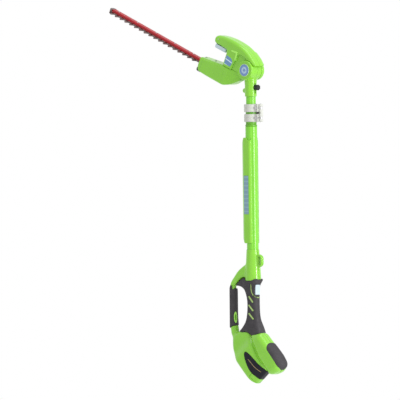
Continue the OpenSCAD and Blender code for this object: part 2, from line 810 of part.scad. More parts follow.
handle_shell_left();
handle_shell_right();
rear_grip();
front_grip();
rear_bumper();
housing_screws();
power_switch();
control_board();
battery_contacts();
trigger_pin();
trigger();
lock_off_button();
battery_case();
battery_panel_left();
battery_panel_right();
battery_cells();
battery_release();
lower_tube();
spine_cover();
pole_label();
clamp_core();
clamp_band_lower();
clamp_band_upper();
clamp_bolts();
clamp_pin();
clamp_lever();
coiled_lead();
upper_tube();
slide_bush();
yoke_left();
yoke_right();
yoke_screw();
pivot_bolt();
pivot_badge();
spring_seat();
release_spring();
tilt_release();
neck_lead();
motor_shell_left();
motor_shell_right();
nose_housing();
index_plate();
motor_can();
field_magnets();
motor_plate();
vent_grille();
head_label();
crank_bearings();
head_screws();
blade_rail();
blade_bolts();
rail_tip();
rotor();
cooling_fan();
drive_gear();
crank_shaft();
cutter_upper();
upper_teeth();
cutter_lower();
lower_teeth();
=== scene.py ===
"""Looks for a pole hedge trimmer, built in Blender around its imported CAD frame.

Shapes are measured as distance fields on a block of sample points, in millimetres, and then meshed.
World axes: +Z up the pole, -X the way the blade points, -Y the tool's left side.
Head axes: x forward along the blade, y towards the tool's left, z towards the motor.
Bay axes: n towards the rear, y to the tool's right, t down the battery bay.
"""

import json
import math

import bpy
import numpy as np
import openvdb
from mathutils import Matrix, Vector
from mathutils.geometry import tessellate_polygon


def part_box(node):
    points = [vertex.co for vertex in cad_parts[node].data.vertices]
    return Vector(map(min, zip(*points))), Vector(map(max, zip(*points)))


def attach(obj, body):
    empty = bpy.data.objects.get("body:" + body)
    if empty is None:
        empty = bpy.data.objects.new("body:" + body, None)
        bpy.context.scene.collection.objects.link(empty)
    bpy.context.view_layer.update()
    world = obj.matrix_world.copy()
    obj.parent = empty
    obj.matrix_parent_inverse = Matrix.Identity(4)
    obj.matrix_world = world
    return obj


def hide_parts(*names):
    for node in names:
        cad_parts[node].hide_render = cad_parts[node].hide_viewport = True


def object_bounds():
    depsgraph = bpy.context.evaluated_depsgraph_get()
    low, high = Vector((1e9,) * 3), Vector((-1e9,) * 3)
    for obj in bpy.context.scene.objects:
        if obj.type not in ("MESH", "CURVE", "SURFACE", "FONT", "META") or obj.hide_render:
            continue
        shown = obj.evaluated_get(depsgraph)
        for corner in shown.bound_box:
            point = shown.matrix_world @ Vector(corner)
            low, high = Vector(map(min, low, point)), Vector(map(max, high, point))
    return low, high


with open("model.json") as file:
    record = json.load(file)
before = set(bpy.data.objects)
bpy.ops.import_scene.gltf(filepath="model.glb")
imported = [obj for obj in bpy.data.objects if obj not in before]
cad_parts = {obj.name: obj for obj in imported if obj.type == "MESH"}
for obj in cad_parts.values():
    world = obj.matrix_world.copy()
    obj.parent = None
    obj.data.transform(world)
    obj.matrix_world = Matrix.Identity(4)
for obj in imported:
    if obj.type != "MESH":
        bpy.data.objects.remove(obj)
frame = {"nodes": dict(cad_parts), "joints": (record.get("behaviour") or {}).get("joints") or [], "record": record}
cad_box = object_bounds()
MM = 0.001

# ---- sizes taken from the frame ----------------------------------------------------------------


def size_of(node):
    """A node's lowest and highest corner, in millimetres."""
    low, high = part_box(node)
    return low / MM, high / MM


JOINT = {j["name"]: j for j in frame["joints"]}
BLADE_AXIS = Vector(JOINT["cutter_stroke"]["axis"])
BAY_AXIS = Vector(JOINT["battery_slide"]["axis"])
# The tilt pivot's height on the pole's axis
PIVOT = JOINT["head_tilt"]["pos_m"][2] / MM
HEAD_TILT = math.atan2(BLADE_AXIS.z, -BLADE_AXIS.x)
BAY_TILT = math.atan2(BAY_AXIS.x, -BAY_AXIS.z)
HEAD = (
    Matrix.Translation((0, 0, PIVOT))
    @ Matrix.Rotation(HEAD_TILT, 4, "Y")
    @ Matrix.Rotation(math.pi, 4, "Z")
)
TUBE_R = size_of("lower_tube")[1].x
INNER_R = size_of("upper_tube")[1].x
DRUM_R = size_of("yoke_right")[1].x
DRUM_Y0 = size_of("yoke_left")[0].y
DRUM_Y1 = size_of("yoke_right")[1].y

# ---- distance fields ---------------------------------------------------------------------------


class Block:
    """A box of sample points. x, y and z are open arrays, which numpy spreads over the block."""

    def __init__(self, low, high, step):
        axes = [np.arange(a, b + step, step, dtype=np.float32) for a, b in zip(low, high)]
        self.low, self.step = np.array(low, np.float32), step
        self.shape = tuple(len(a) for a in axes)
        self.x, self.y, self.z = np.meshgrid(*axes, indexing="ij", sparse=True)


def outline(a, b, points):
    """Distance to a closed outline in the plane of a and b, negative inside."""
    a, b = np.broadcast_arrays(a, b)
    best = np.full(a.shape, 1e9, np.float32)
    inside = np.zeros(a.shape, bool)
    for (a0, b0), (a1, b1) in zip(points, points[1:] + points[:1]):
        ea, eb = a1 - a0, b1 - b0
        pa, pb = a - a0, b - b0
        t = np.clip((pa * ea + pb * eb) / (ea * ea + eb * eb), 0, 1)
        best = np.minimum(best, (pa - t * ea) ** 2 + (pb - t * eb) ** 2)
        if eb:
            inside ^= ((b0 > b) != (b1 > b)) & (pa < pb * ea / eb)
    best = np.sqrt(best)
    return np.where(inside, -best, best)


def curve(*points, parts=5):
    """A closed outline from corners (a, b, r). Where r is given, the corner's curve starts r before it."""
    out = []
    for before, at, after in zip(points[-1:] + points[:-1], points, points[1:] + points[:1]):
        corner = Vector(at[:2])
        if len(at) == 2:
            out.append(at)
            continue
        arms = [Vector(other[:2]) - corner for other in (before, after)]
        start, end = [corner + a.normalized() * min(at[2], 0.49 * a.length) for a in arms]
        for i in range(parts + 1):
            k = i / parts
            out.append(tuple(start * (1 - k) ** 2 + corner * 2 * k * (1 - k) + end * k * k))
    return out


def prism(flat, along, half, r=0.6):
    """A flat shape carried to half either side along a third coordinate, its edges rounded by r."""
    a, b = flat + r, np.abs(along) - half + r
    return np.minimum(np.maximum(a, b), 0) + np.hypot(np.maximum(a, 0), np.maximum(b, 0)) - r


def between(flat, along, low, high, r=0.6):
    return prism(flat, along - (low + high) / 2, (high - low) / 2, r)


def disc(a, b, r):
    return np.hypot(a, b) - r


def box2(a, b, half_a, half_b, r):
    """A rounded rectangle."""
    qa, qb = np.abs(a) - half_a + r, np.abs(b) - half_b + r
    return np.minimum(np.maximum(qa, qb), 0) + np.hypot(np.maximum(qa, 0), np.maximum(qb, 0)) - r


def brick(p, low, high, r=0.6):
    mid = [(a + b) / 2 for a, b in zip(low, high)]
    half = [(b - a) / 2 for a, b in zip(low, high)]
    return prism(box2(p[0] - mid[0], p[1] - mid[1], half[0], half[1], r), p[2] - mid[2], half[2], r)


def rope(p, points, r):
    """Distance to a line through points in space, with a round section."""
    best = None
    for a, b in zip(points, points[1:]):
        e = [j - i for i, j in zip(a, b)]
        d = [c - i for c, i in zip(p, a)]
        t = np.clip(sum(i * j for i, j in zip(d, e)) / sum(i * i for i in e), 0, 1)
        far = np.sqrt(sum((i - t * j) ** 2 for i, j in zip(d, e)))
        best = far if best is None else np.minimum(best, far)
    return best - r


def join(a, b, k=0.01):
    """Union with a fillet of about k."""
    h = np.maximum(k - np.abs(a - b), 0) / k
    return np.minimum(a, b) - h * h * k / 4


def both(a, b, k=0.01):
    """Intersection with an edge rounded by about k."""
    return -join(-a, -b, k)


def cut(a, b, k=0.01):
    """a without b."""
    return both(a, -b, k)


def step(t):
    t = np.clip(t, 0, 1)
    return t * t * (3 - 2 * t)


# ---- pieces ------------------------------------------------------------------------------------


def show(obj, body, material, stands_for=()):
    obj.data.materials.clear()
    obj.data.materials.append(material)
    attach(obj, body)
    if stands_for:
        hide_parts(*stands_for)
    return obj


def piece_from(name, points, quads, tris=()):
    mesh = bpy.data.meshes.new(name)
    mesh.from_pydata(points, [], [*quads, *tris])
    mesh.shade_smooth()
    obj = bpy.data.objects.new(name, mesh)
    bpy.context.scene.collection.objects.link(obj)
    return obj


def solid(name, field, block, body, material, stands_for=(), place=None):
    """Meshes where the field is negative, moves it by place, and hangs it on its body."""
    reach = 3 * block.step
    grid = openvdb.FloatGrid(background=reach)
    grid.copyFromArray(np.clip(np.broadcast_to(field, block.shape), -reach, reach).astype(np.float32))
    points, tris, quads = grid.convertToPolygons(isovalue=0.0, adaptivity=0.0)
    points = points * block.step + block.low
    obj = piece_from(name, (points * MM).tolist(), quads[:, ::-1].tolist(), tris[:, ::-1].tolist())
    if place is not None:
        metres = place.copy()
        metres.translation *= MM
        obj.data.transform(metres)
    return show(obj, body, material, stands_for)


# ---- materials ---------------------------------------------------------------------------------


def material(name, color, rough, metallic=0.0, coat=0.0, specular=0.5):
    m = bpy.data.materials.new(name)
    m.use_nodes = True
    m.diffuse_color = (*color, 1)
    shader = m.node_tree.nodes["Principled BSDF"]
    shader.inputs["Base Color"].default_value = (*color, 1)
    shader.inputs["Roughness"].default_value = rough
    shader.inputs["Metallic"].default_value = metallic
    shader.inputs["Coat Weight"].default_value = coat
    shader.inputs["Coat Roughness"].default_value = 0.08
    shader.inputs["Specular IOR Level"].default_value = specular
    return m


def node(m, kind, **inputs):
    n = m.node_tree.nodes.new(kind)
    for key, value in inputs.items():
        n.inputs[key.replace("_", " ")].default_value = value
    return n


def link(m, a, out, b, into):
    m.node_tree.links.new(a.outputs[out], b.inputs[into])


def texture(m, kind="ShaderNodeTexNoise", stretch=(1, 1, 1), **inputs):
    """A solid texture in the object's own coordinates, in metres."""
    where = m.node_tree.nodes.new("ShaderNodeTexCoord")
    scale = m.node_tree.nodes.new("ShaderNodeMapping")
    scale.inputs["Scale"].default_value = stretch
    tex = node(m, kind, **inputs)
    link(m, where, "Object", scale, "Vector")
    link(m, scale, "Vector", tex, "Vector")
    return tex


def vary(m, tex, color, amount):
    """Lets a texture move the colour by amount either way."""
    ramp = node(m, "ShaderNodeMapRange", From_Min=0.25, From_Max=0.75, To_Min=1 - amount, To_Max=1 + amount)
    mix = m.node_tree.nodes.new("ShaderNodeVectorMath")
    mix.operation = "SCALE"
    mix.inputs[0].default_value = color
    link(m, tex, 0, ramp, "Value")
    link(m, ramp, "Result", mix, "Scale")
    link(m, mix, "Vector", m.node_tree.nodes["Principled BSDF"], "Base Color")


def vary_rough(m, tex, low, high):
    """Lets a texture move the roughness between low and high."""
    ramp = node(m, "ShaderNodeMapRange", From_Min=0.3, From_Max=0.7, To_Min=low, To_Max=high)
    link(m, tex, 0, ramp, "Value")
    link(m, ramp, "Result", m.node_tree.nodes["Principled BSDF"], "Roughness")


def bump(m, tex, height, strength=1.0):
    n = node(m, "ShaderNodeBump", Strength=strength, Distance=height)
    link(m, tex, 0, n, "Height")
    shader = m.node_tree.nodes["Principled BSDF"]
    before = shader.inputs["Normal"].links
    if before:
        m.node_tree.links.new(before[0].from_socket, n.inputs["Normal"])
    link(m, n, "Normal", shader, "Normal")


def plastic(name, color, rough, grain=0.00002, spread=0.04, coat=0.0):
    """Moulded plastic: a little cloudiness, uneven gloss and a fine orange peel."""
    m = material(name, color, rough, coat=coat)
    vary(m, texture(m, Scale=14.0, Detail=3.0), color, spread)
    vary_rough(m, texture(m, Scale=60.0, Detail=4.0), rough * 0.8, rough * 1.25)
    bump(m, texture(m, Scale=900.0, Detail=2.0), grain)
    return m


def rubber(name, color, rough):
    """Overmoulded rubber with a spark-eroded grain and dusty patches."""
    m = material(name, color, rough, specular=0.35)
    vary(m, texture(m, Scale=35.0, Detail=5.0), color, 0.22)
    vary_rough(m, texture(m, Scale=120.0, Detail=3.0), rough * 0.85, min(1.0, rough * 1.2))
    bump(m, texture(m, "ShaderNodeTexVoronoi", Scale=1500.0), 0.00012, 0.6)
    bump(m, texture(m, Scale=700.0, Detail=4.0), 0.000072, 0.5)
    return m


def metal(name, color, rough, stretch=(1, 1, 1)):
    """Machined metal with a lay that the stretch sets."""
    m = material(name, color, rough, metallic=1.0)
    vary(m, texture(m, Scale=40.0, Detail=4.0), color, 0.12)
    lay = texture(m, stretch=stretch, Scale=300.0, Detail=3.0)
    vary_rough(m, lay, rough * 0.75, rough * 1.3)
    bump(m, lay, 0.00001, 0.5)
    return m


def painted(name, color, rough):
    """Sprayed paint under a thin clear coat."""
    m = material(name, color, rough, coat=0.3)
    vary(m, texture(m, Scale=30.0, Detail=4.0), color, 0.10)
    vary_rough(m, texture(m, Scale=90.0, Detail=3.0), rough * 0.8, rough * 1.3)
    bump(m, texture(m, Scale=500.0, Detail=3.0), 0.00003)
    return m


def striped(name, color, pale, axis, pitch, share):
    """Printed film with plain pale bars across it, which fill a share of each pitch along an axis."""
    m = material(name, color, 0.3, coat=0.4)
    where = m.node_tree.nodes.new("ShaderNodeTexCoord")
    dot = m.node_tree.nodes.new("ShaderNodeVectorMath")
    dot.operation = "DOT_PRODUCT"
    dot.inputs[1].default_value = [c / pitch for c in axis]
    link(m, where, "Object", dot, 0)
    wave = m.node_tree.nodes.new("ShaderNodeMath")
    wave.operation = "FRACT"
    link(m, dot, "Value", wave, 0)
    bars = m.node_tree.nodes.new("ShaderNodeMath")
    bars.operation = "LESS_THAN"
    bars.inputs[1].default_value = share
    link(m, wave, 0, bars, 0)
    mix = m.node_tree.nodes.new("ShaderNodeMix")
    mix.data_type = "RGBA"
    mix.inputs["A"].default_value = (*color, 1)
    mix.inputs["B"].default_value = (*pale, 1)
    link(m, bars, 0, mix, "Factor")
    link(m, mix, "Result", m.node_tree.nodes["Principled BSDF"], "Base Color")
    bump(m, texture(m, Scale=800.0), 0.00001)
    return m


GREEN = plastic("green_plastic", (0.19, 0.50, 0.024), 0.2, coat=0.2)
TUBE = plastic("pole_tube", (0.16, 0.50, 0.022), 0.24, coat=0.15)
# Darker green for the clamp sleeve and the front bar's inlay. On the sleeve the darker tone is partly its own
# colour and partly painted shade under the lower clamp band.
CORE = plastic("core_plastic", (0.10, 0.33, 0.012), 0.3)
INLAY = plastic("inlay", (0.30, 0.44, 0.13), 0.5)
PALE_RIM = plastic("pale_rim", (0.42, 0.62, 0.30), 0.25)
BADGE_PALE = plastic("badge_pale", (0.33, 0.45, 0.58), 0.25)
GOLD = plastic("gold_trim", (0.30, 0.22, 0.10), 0.35)
TRIGGER = plastic("trigger_grey", (0.20, 0.20, 0.23), 0.4)
BLADE_STEEL = metal("blade_steel", (0.20, 0.15, 0.145), 0.34, stretch=(1, 12, 1))
# Lime green for the front bar's trim ring, and for the rim on the motor block, where the lighter tone is a painted
# highlight along the block's edge.
LIME_TRIM_AND_HIGHLIGHT = plastic("lime_trim_and_highlight", (0.33, 0.72, 0.10), 0.35)
RUBBER = rubber("grip_rubber", (0.036, 0.033, 0.037), 0.66)
BLACK = plastic("black_plastic", (0.016, 0.016, 0.018), 0.5, grain=0.00005, spread=0.15)
GLOSS = plastic("black_gloss", (0.006, 0.006, 0.012), 0.2, grain=0.000005, coat=0.15)
GREY = plastic("grey_plastic", (0.46, 0.47, 0.43), 0.45)
PALE = plastic("pale_plastic", (0.45, 0.55, 0.62), 0.35)
STEEL = metal("steel", (0.56, 0.56, 0.57), 0.32)
DARK_STEEL = metal("dark_steel", (0.16, 0.135, 0.13), 0.38, stretch=(1, 12, 1))
RED = painted("red_rail", (0.36, 0.012, 0.018), 0.5)
BADGE = plastic("badge_blue", (0.10, 0.20, 0.42), 0.16, coat=0.6)
POLE_LABEL = striped("blue_label", (0.14, 0.26, 0.32), (0.19, 0.33, 0.38), (0, 0, 1), 0.0165, 0.3)
HEAD_LABEL = striped("head_label", (0.10, 0.22, 0.40), (0.62, 0.76, 0.85), (0.5, 0, 0.87), 0.02, 0.16)
# These are dark enough for the pale studio to wash out, so they reflect less of it
for dull, level in ((GLOSS, 0.12), (BLACK, 0.25), (RED, 0.15)):
    dull.node_tree.nodes["Principled BSDF"].inputs["Specular IOR Level"].default_value = level
BOARD = plastic("circuit_board", (0.02, 0.12, 0.05), 0.4)
BRASS = metal("contact_brass", (0.78, 0.55, 0.22), 0.3)
WRAP = plastic("cell_wrap", (0.03, 0.2, 0.42), 0.3)
SLOT_LOOK = {
    "green_plastic": GREEN, "pole_tube": TUBE, "core_plastic": CORE, "grip_rubber": RUBBER,
    "black_plastic": BLACK, "black_gloss": GLOSS, "grey_plastic": GREY, "steel": STEEL,
    "dark_steel": DARK_STEEL, "red_rail": RED, "badge_blue": BADGE, "blue_label": POLE_LABEL,
    "circuit_board": BOARD, "contact_brass": BRASS, "cell_wrap": WRAP,
}


def dress_frame():
    """Gives every CAD node the finish of its material slot."""
    for part in frame["record"]["subparts"]:
        obj = frame["nodes"][part["node"]]
        look = SLOT_LOOK[part["material_slot"]]
        for i in range(len(obj.material_slots)):
            obj.material_slots[i].material = look


# ---- plates and turned pieces --------------------------------------------------------------------


def inset(points, d):
    """Moves each side of an anticlockwise outline inwards by d."""
    out = []
    for before, at, after in zip(points[-1:] + points[:-1], points, points[1:] + points[:1]):
        u = (Vector(at) - Vector(before)).normalized()
        v = (Vector(after) - Vector(at)).normalized()
        out.append(tuple(Vector(at) + Vector((-u.y - v.y, u.x + v.x)) * d / max(1 + u.dot(v), 0.3)))
    return out


def plate(name, loops, levels, body, material, stands_for=(), place=None):
    """A flat piece with holes. loops are an anticlockwise outline and its clockwise holes.
    levels are (height, inset) from the bottom up, so that two close levels make a bevel."""
    points, faces = [], []
    for height, d in levels:
        for loop in loops:
            points += [(x, y, height) for x, y in inset(loop, d)]
    per_level = sum(len(loop) for loop in loops)
    for level in range(len(levels) - 1):
        start = level * per_level
        for loop in loops:
            n = len(loop)
            for i in range(n):
                a, b = start + i, start + (i + 1) % n
                faces.append((a, b, b + per_level, a + per_level))
            start += n
    for level in (0, len(levels) - 1):
        start = level * per_level
        flat = [[Vector((x, y, 0)) for x, y, _ in ring] for ring in rings(points[start:], loops)]
        for tri in tessellate_polygon(flat):
            a, b, c = (Vector(points[start + i]) for i in tri)
            up = (b - a).cross(c - a).z > 0
            tri = tri if up == bool(level) else tri[::-1]
            faces.append(tuple(start + i for i in tri))
    if place is None:
        place = Matrix()
    points = [(place @ Vector(p)) * MM for p in points]
    obj = piece_from(name, points, faces)
    obj.data.shade_flat()
    return show(obj, body, material, stands_for)


def rings(points, loops):
    """Cuts a list of points up into its loops."""
    out, start = [], 0
    for loop in loops:
        out.append(points[start : start + len(loop)])
        start += len(loop)
    return out


def circle(x, y, r, count=24, turn=1):
    """A round outline, anticlockwise, or clockwise as a hole where turn is -1."""
    angles = [turn * math.tau * i / count for i in range(count)]
    return [(x + r * math.cos(a), y + r * math.sin(a)) for a in angles]


def slot_hole(x, y, half, r, count=10):
    """A clockwise slot along x."""
    right = [(x + half + r * math.sin(a), y + r * math.cos(a)) for a in np.linspace(0, math.pi, count)]
    left = [(x - half - r * math.sin(a), y - r * math.cos(a)) for a in np.linspace(0, math.pi, count)]
    return right + left


def tube(name, outer, inner, low, high, body, material, stands_for=(), edge=0.8, count=144):
    """An upright tube. outer gives the radius at each angle, and the ends are rounded by edge."""
    angles = [math.tau * i / count for i in range(count)]
    levels = [(low, 0.0, edge), (low + edge, 0.0, 0.0), (high - edge, 0.0, 0.0), (high, 0.0, edge)]
    levels += [(high, inner, 0.0), (low, inner, 0.0)]
    points = []
    for z, r, back in levels:
        for a in angles:
            far = r or outer(a) - back
            points.append((far * math.cos(a) * MM, far * math.sin(a) * MM, z * MM))
    faces = []
    for level in range(len(levels)):
        start, after = level * count, (level + 1) % len(levels) * count
        for i in range(count):
            j = (i + 1) % count
            faces.append((start + i, start + j, after + j, after + i))
    obj = piece_from(name, points, faces)
    obj.data.set_sharp_from_angle(angle=math.radians(40))
    return show(obj, body, material, stands_for)


# ---- head ----------------------------------------------------------------------------------------

SEAM, WALL = -27.5, 3
HEAD_HALF, HORN_HALF, BLOCK_FRONT = 30, 26, 118
# The tilt drum turns in a round pocket, which the right cover's ear closes
POCKET_R, EAR_Y, EAR_OUT = DRUM_R + 1.4, -25.3, -39
MOTOR_X, GEAR_X, GEAR_BEARING_R = 92, 124.5, 9.02
# Screws across the head: places and hole radius
HEAD_SCREWS, HEAD_SCREW_R = ((60, 60), (176, 56), (108, -22)), 2
CASING = curve(
    (50, SEAM - 16), (122, SEAM - 16), (122, 22, 3), (125, 33, 4), (192, 33, 6), (200, 40, 6), (201, 56, 6),
    (190, 67, 10), (160, 74.5, 20), (119, 79, 30), (63, 78, 30), (24, 69, 20), (-9, 55, 20), (-30, 42, 8),
    (-38, 36, 4), (-28, 25, 4), (0, 0), (38, SEAM - 16),
)
# The sunk web between the motor block and the drum, and how far its floor is from the middle
RECESS, RECESS_HALF = curve(
    (72, SEAM - 6), (63, 20, 8), (61, 38, 8), (48, 45, 8), (30, 44, 6), (14, 40), (14, -10), (36, SEAM - 6)
), 22.5
MOTOR_LABEL = curve((112, 17, 2), (85, 14, 5), (73, 3, 5), (78, -19, 2), (112, -19, 2))
EAR = curve((0, 0), (38, -27), (60, -27), (60, 60), (24, 66, 8), (-9, 52, 8), (-34, 35, 4))
NOSE = curve(
    (24.5, -34), (24.5, -54), (58, -84, 12), (92, -101, 10), (208, -101, 14), (233, -99, 7), (241, -78, 7),
    (238, -44, 6), (123, -28, 20), (38, SEAM - 0.3),
)
BLADE_SLOT = ((200, -14, -79), (290, 14, -56))
GRILLE = ((130, -21.4, 16.5), (190, 21.4, 34))


def casing_field(p):
    """The motor casing without its openings: motor block, sunk web behind it and horn."""
    half = HEAD_HALF - (HEAD_HALF - HORN_HALF) * step((p.x - BLOCK_FRONT) / 60)
    skin = prism(outline(p.x, p.z, CASING), p.y, half, 14)
    web = both(outline(p.x, p.z, RECESS), RECESS_HALF - np.abs(p.y), 3)
    return both(cut(skin, web, 3), SEAM - p.z, 0.6)


def casing_openings(p, skin):
    """Hollows the motor block and cuts the grille's hole, the drum's pocket and the screw holes."""
    skin = cut(skin, both(skin + WALL, 50 - p.x, 3))
    skin = cut(skin, brick((p.x, p.y, p.z), (132, -22, 10), (184, 22, 31), 1))
    skin = cut(skin, between(disc(p.x, p.z, POCKET_R), p.y, EAR_Y, 60, 0.01))
    for x, z in HEAD_SCREWS:
        skin = cut(skin, both(disc(p.x - x, p.z - z, HEAD_SCREW_R), p.y - 20))
    return skin


def hook_highlight_rim(p, skin):
    """A raised rim that hooks over the motor block's rear edge, drawn in a lighter green that paints the highlight
    along that edge.
    """
    line = rope((p.x, p.z), [(92, 42), (66, 45), (64, 16)], 3.8)
    return both(both(line, skin - 1.3), 20 - p.y, 1)


def make_left_cover():
    b = Block((-42, 0, -30), (206, 34, 86), 1.15)
    skin = casing_field(b)
    body = both(casing_openings(b, skin), 0.15 - b.y, 0.5)
    solid("head_cover_left", body, b, "head", GREEN, ("motor_shell_left",), HEAD)
    # The rim's lighter green is a painted highlight along the motor block's rear edge.
    rim = both(hook_highlight_rim(b, skin), -skin - 1)
    solid("motor_block_rim_highlight", rim, b, "head", LIME_TRIM_AND_HIGHLIGHT, (), HEAD)
    sticker = both(both(outline(b.x, b.z, MOTOR_LABEL), skin - 0.6), -skin - 0.6)
    solid("motor_label", both(sticker, 10 - b.y), b, "head", HEAD_LABEL, ("head_label",), HEAD)


def make_right_cover():
    """The right cover carries the ear that stands beside the drum, with the pivot bolt's recess."""
    b = Block((-42, -41, -42), (206, 1.15, 86), 1.15)
    body = casing_openings(b, casing_field(b))
    ear = between(disc(b.x, b.z, DRUM_R), b.y, EAR_OUT, EAR_Y, 2.5)
    web = between(outline(b.x, b.z, EAR), b.y, -HEAD_HALF, EAR_Y, 1)
    body = join(body, join(ear, web, 2), 1)
    body = cut(body, both(disc(b.x, b.z, DRUM_R - 7), b.y - EAR_OUT - 1.4, 1), 0.6)
    body = cut(body, between(disc(b.x, b.z, 14), b.y, -34, -20, 0.3))
    body = cut(body, disc(b.x, b.z, 4.1))
    body = cut(body, between(disc(b.x, b.z, 9), b.y, -60, -33, 0.3))
    solid("head_cover_right", both(body, b.y + 0.15, 0.5), b, "head", GREEN,
          ("motor_shell_right",), HEAD)


def make_nose():
    """The gear case, narrower behind and in front, with a raised panel on each side."""
    b = Block((20, -33, -106), (258, 33, -24), 1.15)
    half = HEAD_HALF - 3.5 * step((b.x - 150) / 95)
    skin = prism(outline(b.x, b.z, NOSE), b.y, half, 8)
    behind = np.maximum(86 - b.x, 0)
    skin = both(skin, np.abs(b.y) - HEAD_HALF + 0.28 * behind, 1.5)
    keel = prism(outline(b.x, b.z, inset(NOSE, 5)), b.y, HEAD_HALF + 1.4, 1.5)
    skin = join(skin, both(keel, both(104 - b.x, b.x - 216), 1), 1.2)
    skin = cut(skin, skin + WALL)
    boss, bearing = disc(b.x - GEAR_X, b.y, 12), disc(b.x - GEAR_X, b.y, GEAR_BEARING_R)
    skin = join(skin, between(boss, b.z, -36.4, -28.5, 0.6))
    skin = join(skin, between(boss, b.z, -98.5, -90.5, 0.6))
    skin = cut(skin, between(bearing, b.z, -36.5, -31.5, 0.01))
    skin = cut(skin, between(bearing, b.z, -97, -90, 0.01))
    skin = cut(skin, between(disc(b.x, b.z, POCKET_R), b.y, EAR_Y, 60, 0.01))
    skin = cut(skin, brick((b.x, b.y, b.z), *BLADE_SLOT, 2), 1)
    solid("gear_case", skin, b, "head", GREEN, ("nose_housing",), HEAD)


def make_motor_mount():
    b = Block((56, -28, -36), (116, 28, -23), 1.1)
    mount = brick((b.x, b.y, b.z), (62, -21, -31.3), (111, 21, -27.8), 0.5)
    mount = cut(mount, disc(b.x - MOTOR_X, b.y, 10))
    solid("motor_mount", mount, b, "head", STEEL, ("motor_plate",), HEAD)


def make_blade_mouth():
    b = Block((20, -33, -106), (258, 33, -24), 1.15)
    lip = brick((b.x, b.y, b.z), (218, -22, -102.5), (243.5, 22, -85), 6)
    solid("blade_mouth", lip, b, "head", BLACK, (), HEAD)


def make_grille():
    """A pale tray with seven slots under the horn, and a dark screen inside it."""
    low, high = GRILLE
    b = Block([c - 3 for c in low], [c + 3 for c in high], 0.8)
    at = (b.x, b.y, b.z)
    tray = brick(at, low, (high[0], high[1], high[2] + 0.2), 6)
    tray = cut(tray, brick(at, (136, -18.5, 20), (184, 18.5, 40), 4))
    for i in range(7):
        tray = cut(tray, brick(at, (138 + 6 * i, -16, 0), (141 + 6 * i, 16, 30), 1.4), 0.5)
    solid("exhaust_grille", tray, b, "head", PALE, ("vent_grille",), HEAD)
    dark = brick(at, (137, -17.5, 24), (183, 17.5, 25.4), 0.5)
    solid("grille_screen", dark, b, "head", BLACK, (), HEAD)


# ---- tilt joint ------------------------------------------------------------------------------------

NECK_LOW, NECK_HIGH, LEAD_R = 808, 890, 16
# The boss on the neck's front with its cross screw
YOKE_SCREW_X, YOKE_SCREW_Z, YOKE_SCREW_R = -29, 831, 2.5
BADGE_R, DRUM_RINGS = 22.3, (27.6, 31.5)


def yoke_skin(p):
    """The drum on its ribbed neck, with the cross screw's boss in front."""
    up = p.z - PIVOT
    drum = between(disc(p.x, up, DRUM_R), p.y, DRUM_Y0, DRUM_Y1, 4)
    ribs = 0.55 * np.cos(4 * np.arctan2(p.y, p.x) + 0.6) ** 8
    far = 23 + 1.8 * step((p.z - 848) / 40)
    neck = between(np.hypot(p.x, p.y) - far + ribs, p.z, NECK_LOW, NECK_HIGH, 1.2)
    boss = join(between(disc(p.x - YOKE_SCREW_X - 2.5, p.z - YOKE_SCREW_Z, 6.5), p.y, -11, 11, 1.5),
                brick((p.x, p.y, p.z), (-29, -11, 823), (-12, 11, 839), 2), 3)
    return join(join(drum, neck, 5), boss, 7)


def make_yoke():
    """Two halves that meet at y = 0. The left one has the badge's seat and the bolt's pillar."""
    for name, low, high, side, cad in (
        ("tilt_yoke_left", -40, 1.1, 1, "yoke_left"), ("tilt_yoke_right", -1.1, 29, -1, "yoke_right")
    ):
        b = Block((-44, low, 802), (46, high, 952), 1.1)
        up = b.z - PIVOT
        skin = yoke_skin(b)
        if side > 0:
            for r in DRUM_RINGS:
                ring = np.abs(disc(b.x, up, r)) - 0.8
                skin = cut(skin, both(ring, np.abs(b.y - DRUM_Y0) - 0.9), 0.6)
        skin = cut(skin, between(disc(b.x, b.y, INNER_R + 0.02), b.z, 700, 862, 0.01))
        skin = cut(skin, between(disc(b.x, b.y, LEAD_R), b.z, 861, NECK_HIGH + 1, 0.01))
        skin = cut(skin, between(disc(b.x, up, DRUM_R - WALL), b.y, DRUM_Y0 + WALL, DRUM_Y1 - WALL, 1))
        if side > 0:
            skin = join(skin, between(disc(b.x, up, 10), b.y, DRUM_Y0 + 2, -2, 0.6), 1)
            skin = cut(skin, between(disc(b.x, up, 4.02), b.y, DRUM_Y0 + 1, 5, 0.01))
            skin = cut(skin, between(disc(b.x, up, 24.2), b.y, DRUM_Y0 - 4, DRUM_Y0 + 1, 0.01))
        skin = cut(skin, both(disc(b.x, up, 14.05), -b.y))
        skin = cut(skin, both(disc(b.x - YOKE_SCREW_X, b.z - YOKE_SCREW_Z, YOKE_SCREW_R), -8 - b.y))
        skin = cut(skin, brick((b.x, b.y, b.z), (10, -5.6, 820), (60, 5.6, 857), 1))
        skin = both(skin, side * b.y + 0.15, 0.5)
        solid(name, skin, b, "upper_pole", GREEN, (cad,))


def make_badge():
    """A domed cap in a pale rim, with three plain arcs round its middle."""
    b = Block((-27, -42, PIVOT - 27), (27, -32, PIVOT + 27), 0.7)
    up, y0 = b.z - PIVOT, DRUM_Y0
    away = np.hypot(b.x, up)
    rim = between(np.abs(away - BADGE_R - 1) - 1.1, b.y, y0 - 1.9, y0 + 0.9, 0.7)
    solid("badge_rim", rim, b, "upper_pole", PALE_RIM)
    face = between(away - BADGE_R, b.y + 0.0016 * away**2, y0 - 1.5, y0 + 0.9, 0.8)
    solid("badge_face", face, b, "upper_pole", BADGE, ("pivot_badge",))
    arcs = between(np.abs(away - 9.5) - 4.2, b.y, y0 - 2.0, y0 - 1.0, 0.4)
    arcs = both(arcs, 0.25 - 3 * np.abs(np.sin(1.5 * np.arctan2(up, b.x))))
    solid("badge_motif", arcs, b, "upper_pole", BADGE_PALE)


